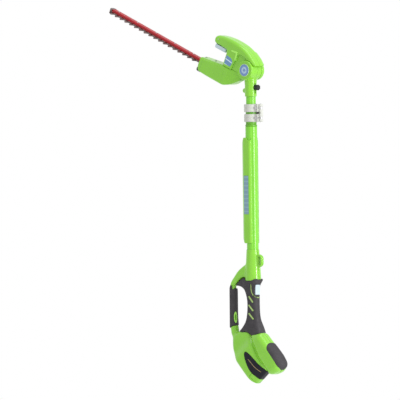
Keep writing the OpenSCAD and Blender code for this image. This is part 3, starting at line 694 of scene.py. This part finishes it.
def make_knob():
    """The tilt release: plunger, stem and a knurled knob behind the neck."""
    b = Block((-7, -12, 815), (45, 14, 886), 0.9)
    p = (b.x, b.y, b.z)
    body = brick(p, (-4, -8, 818), (13.4, 8, 848), 1.5)
    plunger = brick(p, (-4, 3, 846), (4, 10, PIVOT - 28.6), 0.8)
    stem = brick(p, (12, -5.2, 833), (27, 5.2, 851), 1.5)
    away = np.hypot(b.y, b.z - 842)
    grips = 0.6 * np.cos(7 * np.arctan2(b.z - 842, b.y)) * step((away - 6) / 4)
    knob = between(away - 10.3 + grips, b.x, 24, 41, 2.2)
    knob = cut(knob, both(away - 6.5, 39.6 - b.x, 1), 1)
    field = join(join(join(body, plunger), stem), knob, 1.5)
    solid("tilt_release_knob", field, b, "tilt_release", BLACK, ("tilt_release",))


# ---- pole --------------------------------------------------------------------------------------------

SPINE_SCREWS = (284, 600)
FLUTES = [math.radians(a) for a in (-136, -44, 44, 136)]
SPINE = curve(
    (15, 21.5, 2), (9, 26.6, 3), (-20, 26.6, 7), (-36, 14.5, 6), (-36, -14.5, 6), (-20, -26.6, 7),
    (9, -26.6, 3), (15, -21.5, 2),
)


def fluted(r, depth, width):
    """A tube's radius at each angle, with four shallow grooves along it."""
    def radius(angle):
        near = min(abs(math.remainder(angle - f, math.tau)) for f in FLUTES)
        return r - depth * max(0.0, 1 - (near / width) ** 2)

    return radius


def make_tubes():
    low, high = size_of("lower_tube")
    tube("outer_pole", fluted(TUBE_R, 1.1, 0.17), TUBE_R - 2, low.z, high.z, "handle", TUBE,
         ("lower_tube",))
    low, high = size_of("upper_tube")
    tube("inner_pole", fluted(INNER_R, 1.0, 0.19), INNER_R - 2, low.z, high.z, "upper_pole", TUBE,
         ("upper_tube",))


def make_spine():
    """The arched cover along the pole's front: sloped ends, a label panel and two screw seats."""
    low, high = size_of("spine_cover")
    b = Block((-39, -30, low.z - 3), (18, 30, high.z + 3), 1.4)
    skin = between(outline(b.x, b.y, SPINE), b.z, low.z, high.z, 1.5)
    top = (b.z - 632) * 0.62 - (b.x + 38) * 0.78
    bottom = (262 - b.z) * 0.62 - (b.x + 38) * 0.78
    skin = both(both(skin, top, 7), bottom, 6)
    arch = both(disc(b.x - 8, b.z - 652, 13), 20 - np.abs(b.y), 1)
    skin = cut(skin, arch, 1.2)
    panel = both(np.abs(b.x + 7.5) - 11.5, np.abs(b.z - 429) - 76, 1)
    skin = cut(skin, both(both(panel, 25.6 - np.abs(b.y), 0.3), b.y), 0.3)
    skin = cut(skin, disc(b.x, b.y, TUBE_R + 0.1))
    skin = cut(skin, brick((b.x, b.y, b.z), (-33, -9, 273), (-23.5, 9, 620), 1))
    for z in SPINE_SCREWS:
        skin = cut(skin, both(disc(b.y, b.z - z, 6.3), b.x + 33, 0.3), 0.4)
        skin = cut(skin, both(disc(b.y, b.z - z, 2.02), b.x + 20))
    solid("spine_housing", skin, b, "handle", GREEN, ("spine_cover",))
    face = curve((-19, 355, 2.5), (4, 355, 2.5), (4, 503, 2.5), (-19, 503, 2.5))
    turn = Matrix(((1, 0, 0, 0), (0, 0, -1, 0), (0, 1, 0, 0), (0, 0, 0, 1)))
    plate("pole_decal", [face], [(25.5, 0), (26.5, 0), (26.7, 0.2)], "handle", POLE_LABEL,
          ("pole_label",), turn)


HINGE_X, HINGE_Y = 35, 17


def make_clamp():
    """Two split bands with a groove each, round a ribbed sleeve."""
    for name, (z0, z1) in (("lower", (710, 740)), ("upper", (748, 778))):
        b = Block((-30, -30, z0 - 3), (46, 30, z1 + 3), 1.0)
        away, up = np.hypot(b.x, b.y), b.z - (z0 + z1) / 2
        band = between(away - 27, b.z, z0, z1, 2.2)
        ear = brick((b.x, b.y, b.z), (10, -9.5, z0), (42, 8, z1), 2.2)
        field = join(band, ear, 4)
        field = cut(field, both(np.abs(up) - 1.0, 25.9 - away, 0.5), 0.8)
        field = cut(field, away - 21.02)
        field = cut(field, brick((b.x, b.y, b.z), (10, -3, z0 - 9), (80, 3, z1 + 9), 0.1), 0.6)
        field = cut(field, disc(b.x - HINGE_X, up, 2.7))
        solid("clamp_ring_" + name, field, b, "handle", GREY, ("clamp_band_" + name,))
    b = Block((-26, -26, 637), (26, 26, 779), 1.1)
    away = np.hypot(b.x, b.y)
    core = between(away - 20.95, b.z, 640, 775, 0.8)
    collar = between(away - 22.9, b.z, 692.5, 699, 0.8)
    core = join(core, collar, 1.5)
    core = cut(core, away - INNER_R - 0.05)
    core = cut(core, brick((b.x, b.y, b.z), (10, -2, 700), (40, 2, 900), 0.5))
    for i in range(3):
        core = cut(core, both(np.abs(b.z - 702 - 2.4 * i) - 0.5, 20.2 - away), 0.3)
    # The sleeve's darker green also paints the shade that falls under the lower clamp band.
    solid("clamp_sleeve", core, b, "handle", CORE, ("clamp_core",))


def make_lever():
    """The cam lever: a hinge barrel and a ribbed blade that lies round the bands."""
    b = Block((-38, 2, 707), (49, 48, 781), 1.0)
    away = np.hypot(b.x, b.y)
    barrel = between(disc(b.x - HINGE_X, b.y - HINGE_Y, 8.7), b.z, 710, 778, 1.5)
    wedge = outline(b.x, b.y, [(0, 0), (46, 33), (30, 60), (-34, 60)])
    shell = both(np.abs(away - 33.5) - 2.4, wedge, 2.5)
    blade = between(shell, b.z, 712, 776, 2)
    ribs = both(both(np.abs(away - 36) - 0.9, wedge + 6), np.abs(np.mod(b.z - 712, 8) - 4) - 1.4, 0.5)
    blade = join(blade, both(ribs, np.abs(b.z - 744) - 24), 0.6)
    field = join(barrel, blade, 3)
    field = cut(field, disc(b.x - HINGE_X, b.y - HINGE_Y, 2.56))
    for z in (725, 763):
        field = cut(field, between(disc(b.x - HINGE_X, b.y - HINGE_Y, 10), b.z, z - 5, z + 5, 0.3))
    solid("clamp_handle", field, b, "clamp_lever", GREY, ("clamp_lever",))


# ---- handle --------------------------------------------------------------------------------------------

# The battery bay: its top's height on the pole's axis, its (n, t) corners and its half width
BAY_TOP, BAY, BAY_HALF = -100, ((-108, 50), (-38, 300)), 33
PACK, PACK_HALF, PACK_MID, PACK_END = ((-107.6, 54), (-38.4, 300)), 32.6, -73, 155
LOBE_END, TAPER_T, TAPER_HALF = 165, 161, 16
CHEEK_DEPTH = 4.5
# Half sizes and corner radius of the cores inside the two grips, and the front bar's place
GRIP_CORE, BAR_CORE, BAR_X = (17, 13, 6), (9, 9, 5), -101
TRIGGER_WINDOW = ((-30, -6.3, 34), (-14, 6.3, 96))
BUTTON_WINDOW = ((5, -13.4, 43.6), (60, 13.4, 84.4))
HOUSING = curve(
    (-82, -104, 12), (-95, -128, 12), (-98, -158, 14), (-88, -190, 16), (-62, -219, 16), (-32, -253, 16),
    (-12, -274, 10), (5, -291, 8), (20, -299, 6), (78, -252, 2), (88, -261, 5), (108, -262, 6),
    (132, -254, 10), (146, -240, 12), (153, -219, 16), (132, -186, 16), (88, -141, 16), (52, -103, 8),
    (20, -97, 8), (-30, -92, 8), (-57, -92, 10),
)
ARM = curve(
    (0, 172), (-10, 170, 8), (-36, 158, 12), (-66, 138, 12), (-103, 100, 8), (-110, 86, 3), (-108, 79.5, 2),
    (-87, 79.5, 3), (-81, 87, 5), (-62, 103, 8), (-44, 114, 12), (-20, 108, 10), (0, 100),
)
GRIP = curve(
    (-23.5, -20, 20), (-32, -60, 22), (-48, -84, 12), (-61, -95, 3), (-46, -101, 6), (-24, -99, 12),
    (-3, -109, 12), (8, -119, 10), (29, -121, 10), (47, -104, 3), (37, -72, 22), (25.5, -40, 30),
    (23, 10, 30), (25, 70, 20), (31.5, 101, 4), (31, 106, 2), (-18, 108, 8), (-44, 115, 12),
    (-62, 104, 8), (-81, 88, 5), (-86, 80, 3),
    (-72, 79, 6), (-54, 74, 12), (-38, 61, 12), (-29, 44, 14), (-23, 20, 20),
)
BAR = curve(
    (-117, -84, 3), (-118, -40, 20), (-117.5, 60, 20), (-117, 76, 8), (-103, 101, 2), (-98, 94, 2), (-97, 70),
    (-86, 70), (-85, 60, 10), (-85, -40, 20), (-83, -73, 3),
)
LEAF = curve(
    (-86, -190), (-37, -190), (-38, -150, 20), (-42, -105, 20), (-47, -72, 14), (-54, -50, 8), (-64, -45, 8),
    (-77, -62, 14), (-88, -100, 30), (-89, -140, 30),
)
PAD_MID, PAD_HALF, PAD_R = 148, 33, 28


def bay_axes(p):
    """How far a point lies to the rear of the battery bay's axis, and how far down the bay."""
    c, s = math.cos(BAY_TILT), math.sin(BAY_TILT)
    z = p.z - BAY_TOP
    return c * p.x + s * z, s * p.x - c * z


def bay_brick(p, low, high, half, r=1):
    """A brick in the bay's axes, from (n, t) corners and a half width."""
    n, t = bay_axes(p)
    return prism(box2(n - (low[0] + high[0]) / 2, t - (low[1] + high[1]) / 2, (high[0] - low[0]) / 2,
                      (high[1] - low[1]) / 2, r), p.y, half, r)


def collar_field(p):
    """The cone that holds the pole. Its lower edge dips at the sides."""
    far = 31 - 6.4 * (p.z - 104) / 115
    cone = both(disc(p.x, p.y, far), p.z - 219, 2.5)
    return both(cone, 99 + 0.0045 * p.x**2 - p.z, 1.2)


def arm_field(p):
    return prism(outline(p.x, p.z, ARM), p.y, 18 - 4 * step((-60 - p.x) / 45), 9)


def housing_field(p):
    """The battery housing: two rounded lobes that meet in a crease, and the front bar's foot."""
    n, t = bay_axes(p)
    flat = outline(p.x, p.z, HOUSING)
    crease = np.interp(t, (-7, 100), (-6, -31)).astype(np.float32)
    waist = 1 - step((t - 2) / 48)
    front = prism(np.maximum(flat, n - crease - 1), p.y, 38 - 15 * waist, 17)
    taper = 0.832 * (np.abs(p.y) - TAPER_HALF) + 0.555 * (t - TAPER_T)
    front = both(both(front, taper, 9), t - LOBE_END, 5)
    rear = prism(np.maximum(flat, crease - 1 - n), p.y, 35 - 10 * waist, 24)
    foot = rope((p.x, p.y, p.z), [(BAR_X, 0, -60), (-95, 0, -100), (-78, 0, -140)], 15.5)
    foot = both(foot, p.z + 78.3 - 0.33 * (p.x - BAR_X), 1.5)
    return join(join(front, rear, 6), foot, 14)


def loop_field(p):
    """The strap's loop behind the collar."""
    outer = curve((15, 150), (40, 151, 6), (51, 160, 8), (51, 190, 8), (39, 199.5, 6), (15, 200))
    inner = curve((33, 160, 3), (38, 159, 3), (43, 164, 3), (43, 184, 4), (40, 191, 3), (33, 192, 3))
    return cut(prism(outline(p.x, p.z, outer), p.y, 7, 4), prism(outline(p.x, p.z, inner), p.y, 20, 0.5), 2)


def pad_flat(p):
    """A long oval that wraps round the rear lobe's back."""
    n, t = bay_axes(p)
    along = np.maximum(np.abs(t - PAD_MID) - PAD_HALF, 0)
    around = 0.61 * (np.abs(p.y) + 0.7 * np.maximum(46 - n, 0))
    return both(np.hypot(along, around) - PAD_R, 15 - n)


def leaf_flat(p):
    n, t = bay_axes(p)
    return outline(n, -t, LEAF)


def handle_skin(p):
    """The two shells' outside: collar, arm, strap loop and battery housing."""
    frame_part = join(collar_field(p), arm_field(p), 7)
    frame_part = join(frame_part, loop_field(p), 4)
    return join(frame_part, housing_field(p))


def windows(p):
    """Openings for the trigger and the lock-off button."""
    at = (p.x, p.y, p.z)
    return join(brick(at, *TRIGGER_WINDOW, 0.8), brick(at, *BUTTON_WINDOW, 3))


SHELL_SCREWS = ((-62, 124), (-100, -112), (24, -124), (114, -230))


def make_handle():
    """Two hollow shells that meet at y = 0, open for the pole, battery, pad, trigger and button."""
    for name, low, high, side, cad in (
        ("handle_cover_left", -42, 1.5, 1, "handle_shell_left"),
        ("handle_cover_right", -1.5, 42, -1, "handle_shell_right"),
    ):
        b = Block((-124, low, -302), (170, high, 222), 1.5)
        skin = cut(handle_skin(b), both(grip_skin(b) - 0.3, b.z + 60), 1)
        n, t = bay_axes(b)
        inner = both(skin + WALL, both(-n - 35, BAY[0][1] - t), 2)
        core = prism(box2(b.x, b.y, *GRIP_CORE), b.z - 2.5, 107.5, 0.5)
        core = join(core, prism(box2(b.x - BAR_X, b.y, *BAR_CORE), b.z + 1.5, 93.5, 0.5))
        body = join(cut(skin, inner), core)
        body = cut(body, both(disc(b.x, b.y, TUBE_R + 0.05), 90 - b.z))
        body = cut(body, both(skin + WALL, np.abs(b.z - 130) - 70))
        body = cut(body, prism(box2(b.x, b.y, 14, 10, 3), b.z - 5, 115, 0.01))
        body = cut(body, bay_brick(b, *BAY, BAY_HALF))
        body = cut(body, both(leaf_flat(b), 20 - t), 1)
        pocket = both(both(pad_flat(b) - 0.5, -skin - 1.4), -60 - b.z)
        body = cut(body, pocket)
        for x, z in SHELL_SCREWS:
            body = join(body, both(disc(b.x - x, b.z - z, 6.5), skin + 1))
            body = cut(body, both(disc(b.x - x, b.z - z, 2), -12 - b.y))
            body = cut(body, both(disc(b.x - x, b.z - z, 4.2), 12 - b.y), 0.5)
        body = cut(body, windows(b))
        solid(name, both(body, side * b.y + 0.15, 0.5), b, "handle", GREEN, (cad,))


def grip_skin(p):
    """The rear grip's rubber: an oval bar that flares at both ends, with a thin web in front."""
    low_flare = step((-45 - p.z) / 55)
    high_flare = step((p.z - 78) / 26) * step((p.x + 45) / 20)
    web = step((-22 - p.x) / 22) * step((p.z - 20) / 30)
    half = 18 + 7 * low_flare + 11.5 * high_flare - 3.5 * web
    return prism(outline(p.x, p.z, GRIP), p.y, half, 13.5)


def dashes(p, skin):
    """Three slanted ovals along each side of the grip."""
    ends = (((10, 17), (-7, 37)), ((11, -16), (-8, 4)), ((12, -48), (-8, -28)))
    ovals = np.minimum.reduce([rope((p.x, p.z), pair, 3.4) for pair in ends])
    return both(both(ovals, skin - 0.7), 4 - np.abs(p.y), 0.5)


def grip_line(p, skin):
    """A curved line from the collar round below the lock-off button."""
    route = [(-4, 18, 99), (3, 18, 84), (3.5, 18, 68), (6, 18, 54), (13, 16.5, 43), (20, 11, 36), (24, 0, 33)]
    return both(rope((p.x, np.abs(p.y), p.z), route, 2.0), skin - 0.8, 0.4)


def make_grip():
    b = Block((-90, -34, -126), (56, 34, 120), 1.3)
    skin = grip_skin(b)
    near = join(join(collar_field(b), arm_field(b), 7), loop_field(b), 4)
    body = cut(skin, near - 0.4, 0.8)
    body = cut(body, prism(box2(b.x, b.y, *GRIP_CORE), b.z, 200, 0.01))
    body = cut(body, brick((b.x, b.y, b.z), (-60, -6.3, 34), (-14, 6.3, 84), 0.8))
    body = cut(body, brick((b.x, b.y, b.z), *BUTTON_WINDOW, 3), 1.2)
    ovals, line = dashes(b, skin), grip_line(b, skin)
    body = cut(cut(body, ovals - 0.35, 0.3), line - 0.35, 0.3)
    solid("rear_grip_rubber", body, b, "handle", RUBBER, ("rear_grip",))
    solid("grip_dashes", both(ovals, -skin - 1.2), b, "handle", INLAY)
    solid("grip_line", both(line, -skin - 1.2), b, "handle", INLAY)


def make_bar():
    """The front bar's rubber, with an oval inlay in a bright ring low on its front left."""
    b = Block((-122, -18, -90), (-78, 18, 106), 1.2)
    x = b.x - BAR_X
    half = 14 + 1.2 * step((-30 - b.z) / 45) - 1.5 * step((b.z - 70) / 25)
    skin = prism(outline(b.x, b.z, BAR), b.y, half, 12.5)
    core = prism(box2(x, b.y, *BAR_CORE), b.z, 200, 0.01)
    turn, oval_half, oval_z, oval_tall = math.radians(-25), 5.2, -42, 17
    across = b.y * math.cos(turn) - x * math.sin(turn)
    oval = oval_half * (np.hypot(across / oval_half, (b.z - oval_z) / oval_tall) - 1)
    facing = -x * math.cos(turn) - b.y * math.sin(turn)
    ring = both(np.abs(oval) - 1.5, facing, 0.3)
    middle = both(both(oval + 1.6, facing, 0.3), skin + 0.2, 0.3)
    body = cut(cut(skin, handle_skin(b) - 0.4, 0.8), core)
    body = cut(cut(body, ring - 0.2), middle - 0.1)
    body = join(body, both(both(skin + 2, oval - 3), facing))
    solid("front_grip_rubber", cut(body, core), b, "handle", RUBBER, ("front_grip",))
    ring = both(both(ring, skin - 0.7, 0.3), -skin - 1.9)
    solid("front_grip_ring", ring, b, "handle", LIME_TRIM_AND_HIGHLIGHT)
    solid("front_grip_centre", both(middle, -skin - 1.9), b, "handle", CORE)


def make_pad():
    b = Block((10, -34, -262), (176, 34, -80), 1.3)
    skin = housing_field(b)
    pad = both(both(pad_flat(b), skin - 1.3, 1.2), -skin - 1.3)
    solid("rear_pad", pad, b, "handle", RUBBER, ("rear_bumper",))


def make_battery():
    """The pack's dark core, its green end that carries on the front lobe, and its cells."""
    b = Block((-44, -38, -304), (108, 38, -112), 1.2)
    n, t = bay_axes(b)
    skin = housing_field(b)
    pack = both(skin + 0.1, bay_brick(b, *PACK, PACK_HALF, 2))
    core = both(both(pack, skin + CHEEK_DEPTH + 0.5), t - PACK_END, 1)
    solid("battery_core", core, b, "battery", BLACK, ("battery_case",))
    under = both(leaf_flat(b), -skin - CHEEK_DEPTH - 0.3)
    cap = cut(both(both(pack, 116 - t), -skin - CHEEK_DEPTH - 0.4), under)
    solid("battery_end", cap, b, "battery", GREEN)
    cells = []
    for row, y in ((-19, -17), (19, -17), (0, 0), (-19, 17), (19, 17)):
        cells.append(both(np.hypot(n - PACK_MID - row, b.y - y) - 9.1, np.abs(t - 95) - 32, 0.6))
    solid("cell_block", np.minimum.reduce(cells), b, "battery", WRAP, ("battery_cells",))


def make_cheeks():
    """A glossy leaf let into each side of the front lobe, with a thin gold strip across it."""
    for name, low, high, side, cad in (
        ("battery_cheek_left", -41, 0, 1, "battery_panel_left"),
        ("battery_cheek_right", 0, 41, -1, "battery_panel_right"),
    ):
        b = Block((-44, low, -304), (104, high, -112), 1.1)
        skin = housing_field(b)
        face = both(both(leaf_flat(b) + 0.6, skin - 0.2, 1), -skin - CHEEK_DEPTH, 0.3)
        strip = rope((b.x, b.z), [(1, -203), (52, -252)], 1.5)
        face = cut(both(face, side * b.y + 0.3), both(strip - 0.2, -skin - 1.2), 0.3)
        solid(name, face, b, "battery", GLOSS, (cad,))
        trim = both(both(both(strip, skin - 0.5, 0.3), -skin - 1.3), side * b.y + 8)
        solid(name.replace("cheek", "trim"), trim, b, "battery", GOLD)


def make_battery_button():
    b = Block((30, -12, -275), (80, 12, -235), 0.8)
    button = bay_brick(b, (-51.6, 150), (-42.4, 164.2), 8, 2)
    solid("battery_button", button, b, "battery_release", BLACK, ("battery_release",))


def make_lock_button():
    """The pale lock-off button: a slice of a drum with four ribs pressed into it."""
    b = Block((8, -16, 40), (32, 16, 88), 0.8)
    away = np.hypot(b.x + 8, b.y)
    button = between(both(away - 34.2, np.abs(b.y) - 12.8, 2.5), b.z, 44.3, 83.8, 2.5)
    button = both(button, 12.3 - b.x, 0.5)
    across = both(33.2 - away, np.abs(b.y) - 8)
    for i in range(4):
        button = cut(button, both(np.abs(b.z - 58 - 5 * i) - 0.8, across, 0.4), 0.8)
    solid("lock_button", button, b, "lock_off_button", PALE, ("lock_off_button",))


def make_trigger():
    b = Block((-36, -8, 33), (-6, 8, 96), 0.7)
    shape = curve((-16.5, 93, 2), (-16.5, 84, 3), (-20, 81, 3), (-27, 77, 3), (-31.5, 60, 14), (-30, 41, 4),
                  (-22, 35.5, 3), (-15, 37, 2), (-15, 68, 6), (-9, 78, 3), (-9, 93, 2))
    trigger = prism(outline(b.x, b.z, shape), b.y, 5.9, 2.2)
    trigger = cut(trigger, disc(b.x + 13, b.z - 90, 2.06))
    solid("trigger_blade", trigger, b, "trigger", TRIGGER, ("trigger",))


# ---- blade ---------------------------------------------------------------------------------------------

TOOTH_PITCH, TOOTH_COUNT, FIRST_TOOTH, SPINE_HALF, TOOTH_REACH = 27.2, 18, 268, 12.5, 30
BOLTS = [295 + 105 * i for i in range(5)]
FRAME_SIZE, WINDOW = (62, 46.6), (51, 35.6)
UPPER_Z, LOWER_Z, RAIL_Z, RAIL_X, RAIL_HALF = -70, -73.3, (-66.7, -56.7), (166, 742), 11
RAIL_SCREWS = (178, 228)
TIP = curve((742, -14, 2), (751, -14, 5), (757, -8, 4), (757, 8, 4), (751, 14, 5), (742, 14, 2))


def cutter_outline():
    """Spine and teeth in one closed line, anticlockwise from the rear."""
    start, end = GEAR_X + FRAME_SIZE[0] / 2, FIRST_TOOTH + (TOOTH_COUNT - 1) * TOOTH_PITCH + 8
    long = TOOTH_REACH - SPINE_HALF
    tooth = [(-8.5, 0), (-5.6, 2.2), (-3.3, long - 1.6), (-1.8, long)]
    tooth += [(-x, y) for x, y in reversed(tooth)]
    middles = [FIRST_TOOTH + TOOTH_PITCH * i for i in range(TOOTH_COUNT)]
    # The last tooth stands a little nearer, so that its foot ends before the spine does
    middles[-1] -= 0.6
    line = [(start, -SPINE_HALF)]
    line += [(m + x, -SPINE_HALF - y) for m in middles for x, y in tooth]
    line += [(end, -SPINE_HALF), (end, SPINE_HALF)]
    line += [(m - x, SPINE_HALF + y) for m in reversed(middles) for x, y in tooth]
    line += [(start, SPINE_HALF)]
    half_x, half_y = FRAME_SIZE[0] / 2, FRAME_SIZE[1] / 2
    near, far = start - 0.01, GEAR_X - half_x
    return line + [(near, half_y), (far, half_y), (far, -half_y), (near, -half_y)]


def make_cutters():
    """Two ground blades with a slot at each bolt and a window for the crank."""
    holes = [slot_hole(x, 0, 8.5, 3.8) for x in BOLTS]
    half_x, half_y = WINDOW[0] / 2, WINDOW[1] / 2
    holes.append([(GEAR_X - half_x, -half_y), (GEAR_X - half_x, half_y), (GEAR_X + half_x, half_y),
                  (GEAR_X + half_x, -half_y)])
    loops = [cutter_outline(), *holes]
    for name, z, levels, cad in (
        ("upper_cutter_blade", UPPER_Z, [(0, 0), (1.4, 0), (3, 1.15)], ("cutter_upper", "upper_teeth")),
        ("lower_cutter_blade", LOWER_Z, [(0, 1.15), (1.6, 0), (3, 0)], ("cutter_lower", "lower_teeth")),
    ):
        plate(name, loops, [(z + up, d) for up, d in levels], cad[0], BLADE_STEEL, cad, HEAD)


def make_rail():
    """The red rail over the cutters, and the steel guard at its tip."""
    (rear, front), (low, high) = RAIL_X, RAIL_Z
    shape = curve((rear, -RAIL_HALF), (front, -RAIL_HALF, 2), (front, RAIL_HALF, 2), (rear, RAIL_HALF))
    holes = [circle(x, 0, 3.52, turn=-1) for x in BOLTS] + [circle(x, 0, 2.02, turn=-1) for x in RAIL_SCREWS]
    levels = [(low, 0.5), (low + 0.5, 0), (high - 2, 0), (high - 0.6, 0.9), (high, 1.9)]
    plate("blade_spine_rail", [shape, *holes], levels, "head", RED, ("blade_rail",), HEAD)
    b = Block((738, -17, -80), (761, 17, -54), 0.8)
    tip = between(outline(b.x, b.y, TIP), b.z, -77, -56.5, 1.8)
    tip = cut(tip, brick((b.x, b.y, b.z), (730, -20, -74.6), (750, 20, -66.2), 0.3))
    tip = both(tip, front - b.x, 0.4)
    solid("blade_tip_guard", tip, b, "head", BLADE_STEEL, ("rail_tip",), HEAD)


def make_bolts():
    """Flanged hexagon nuts under the lower cutter and rounded shanks through the rail."""
    for i, x in enumerate(BOLTS):
        for name, loop, levels, look, cad in (
            ("washer", circle(x, 0, 7, 32), [(-75, 0.4), (-74.6, 0), (-74.0, 0), (-73.6, 0.3)], STEEL,
             ("blade_bolts",) if i == 0 else ()),
            ("nut", circle(x, 0, 5.6, 6), [(-76.6, 0.8), (-76.1, 0), (-75, 0)], DARK_STEEL, ()),
            ("shank", circle(x, 0, 3.45), [(-75, 0), (-55.9, 0), (-55.2, 0.7)], STEEL, ()),
        ):
            plate(f"blade_bolt_{name}_{i}", [loop], levels, "head", look, cad, HEAD)


PIECES = (
    make_left_cover, make_right_cover, make_nose, make_motor_mount, make_blade_mouth, make_grille,
    make_yoke, make_badge, make_knob, make_tubes, make_spine, make_clamp, make_lever, make_handle,
    make_grip, make_bar, make_pad, make_battery, make_cheeks, make_battery_button, make_lock_button,
    make_trigger, make_cutters, make_rail, make_bolts,
)


# ---- camera, lights and floor --------------------------------------------------------------------

# The camera stands far off with a long lens. The pole is off the picture's middle by POLE_ASIDE.
# Lengths here are in metres.
CAMERA_AZ, CAMERA_ROLL = math.radians(41.3), math.radians(0.75)
CAMERA_AWAY, CAMERA_UP, VIEW_HEIGHT, POLE_ASIDE = 40, 0.412, 1.54, 0.201
RIGHT = Vector((math.cos(CAMERA_AZ), math.sin(CAMERA_AZ), 0))
TOWARDS = Vector((math.sin(CAMERA_AZ), -math.cos(CAMERA_AZ), 0))
UP = Vector((0, 0, 1))


def make_camera():
    data = bpy.data.cameras.new("camera")
    data.angle = 2 * math.atan(VIEW_HEIGHT / 2 / CAMERA_AWAY)
    data.clip_end = 5 * CAMERA_AWAY
    cam = bpy.data.objects.new("camera", data)
    bpy.context.scene.collection.objects.link(cam)
    back = Matrix.Rotation(math.atan(POLE_ASIDE / CAMERA_AWAY), 3, "Z") @ TOWARDS
    side = UP.cross(back)
    up = UP * math.cos(CAMERA_ROLL) + side * math.sin(CAMERA_ROLL)
    turn = Matrix((up.cross(back), up, back)).transposed().to_4x4()
    cam.matrix_world = Matrix.Translation(TOWARDS * CAMERA_AWAY + UP * CAMERA_UP) @ turn
    bpy.context.scene.camera = cam


def softbox(name, place, aim, size, power):
    data = bpy.data.lights.new(name, "AREA")
    data.shape = "RECTANGLE"
    data.size, data.size_y = size
    data.energy = power
    lamp = bpy.data.objects.new(name, data)
    bpy.context.scene.collection.objects.link(lamp)
    lamp.location = place
    lamp.rotation_euler = (place - aim).to_track_quat("Z", "Y").to_euler()


def make_studio():
    """A pale floor well below the tool, a white surround and two soft lamps."""
    low = cad_box[0].z - 0.45
    floor = piece_from("floor", [(-9, -9, low), (9, -9, low), (9, 9, low), (-9, 9, low)], [(0, 1, 2, 3)])
    floor.data.materials.append(plastic("paper", (0.9, 0.9, 0.9), 0.9))
    world = bpy.data.worlds.new("studio")
    world.use_nodes = True
    background = world.node_tree.nodes["Background"]
    background.inputs["Color"].default_value = (1, 1, 1, 1)
    background.inputs["Strength"].default_value = 1.0
    bpy.context.scene.world = world
    middle = UP * 0.4
    softbox("key", middle + RIGHT * 2.2 + TOWARDS * 1.7 + UP * 0.5, middle, (0.5, 2.4), 62)
    softbox("top", middle + UP * 2.4 + TOWARDS * 0.6 + RIGHT * 0.3, middle, (1.6, 1.6), 16)
    bpy.context.scene.view_settings.view_transform = "Standard"


make_camera()
make_studio()
dress_frame()
for make in PIECES:
    make()
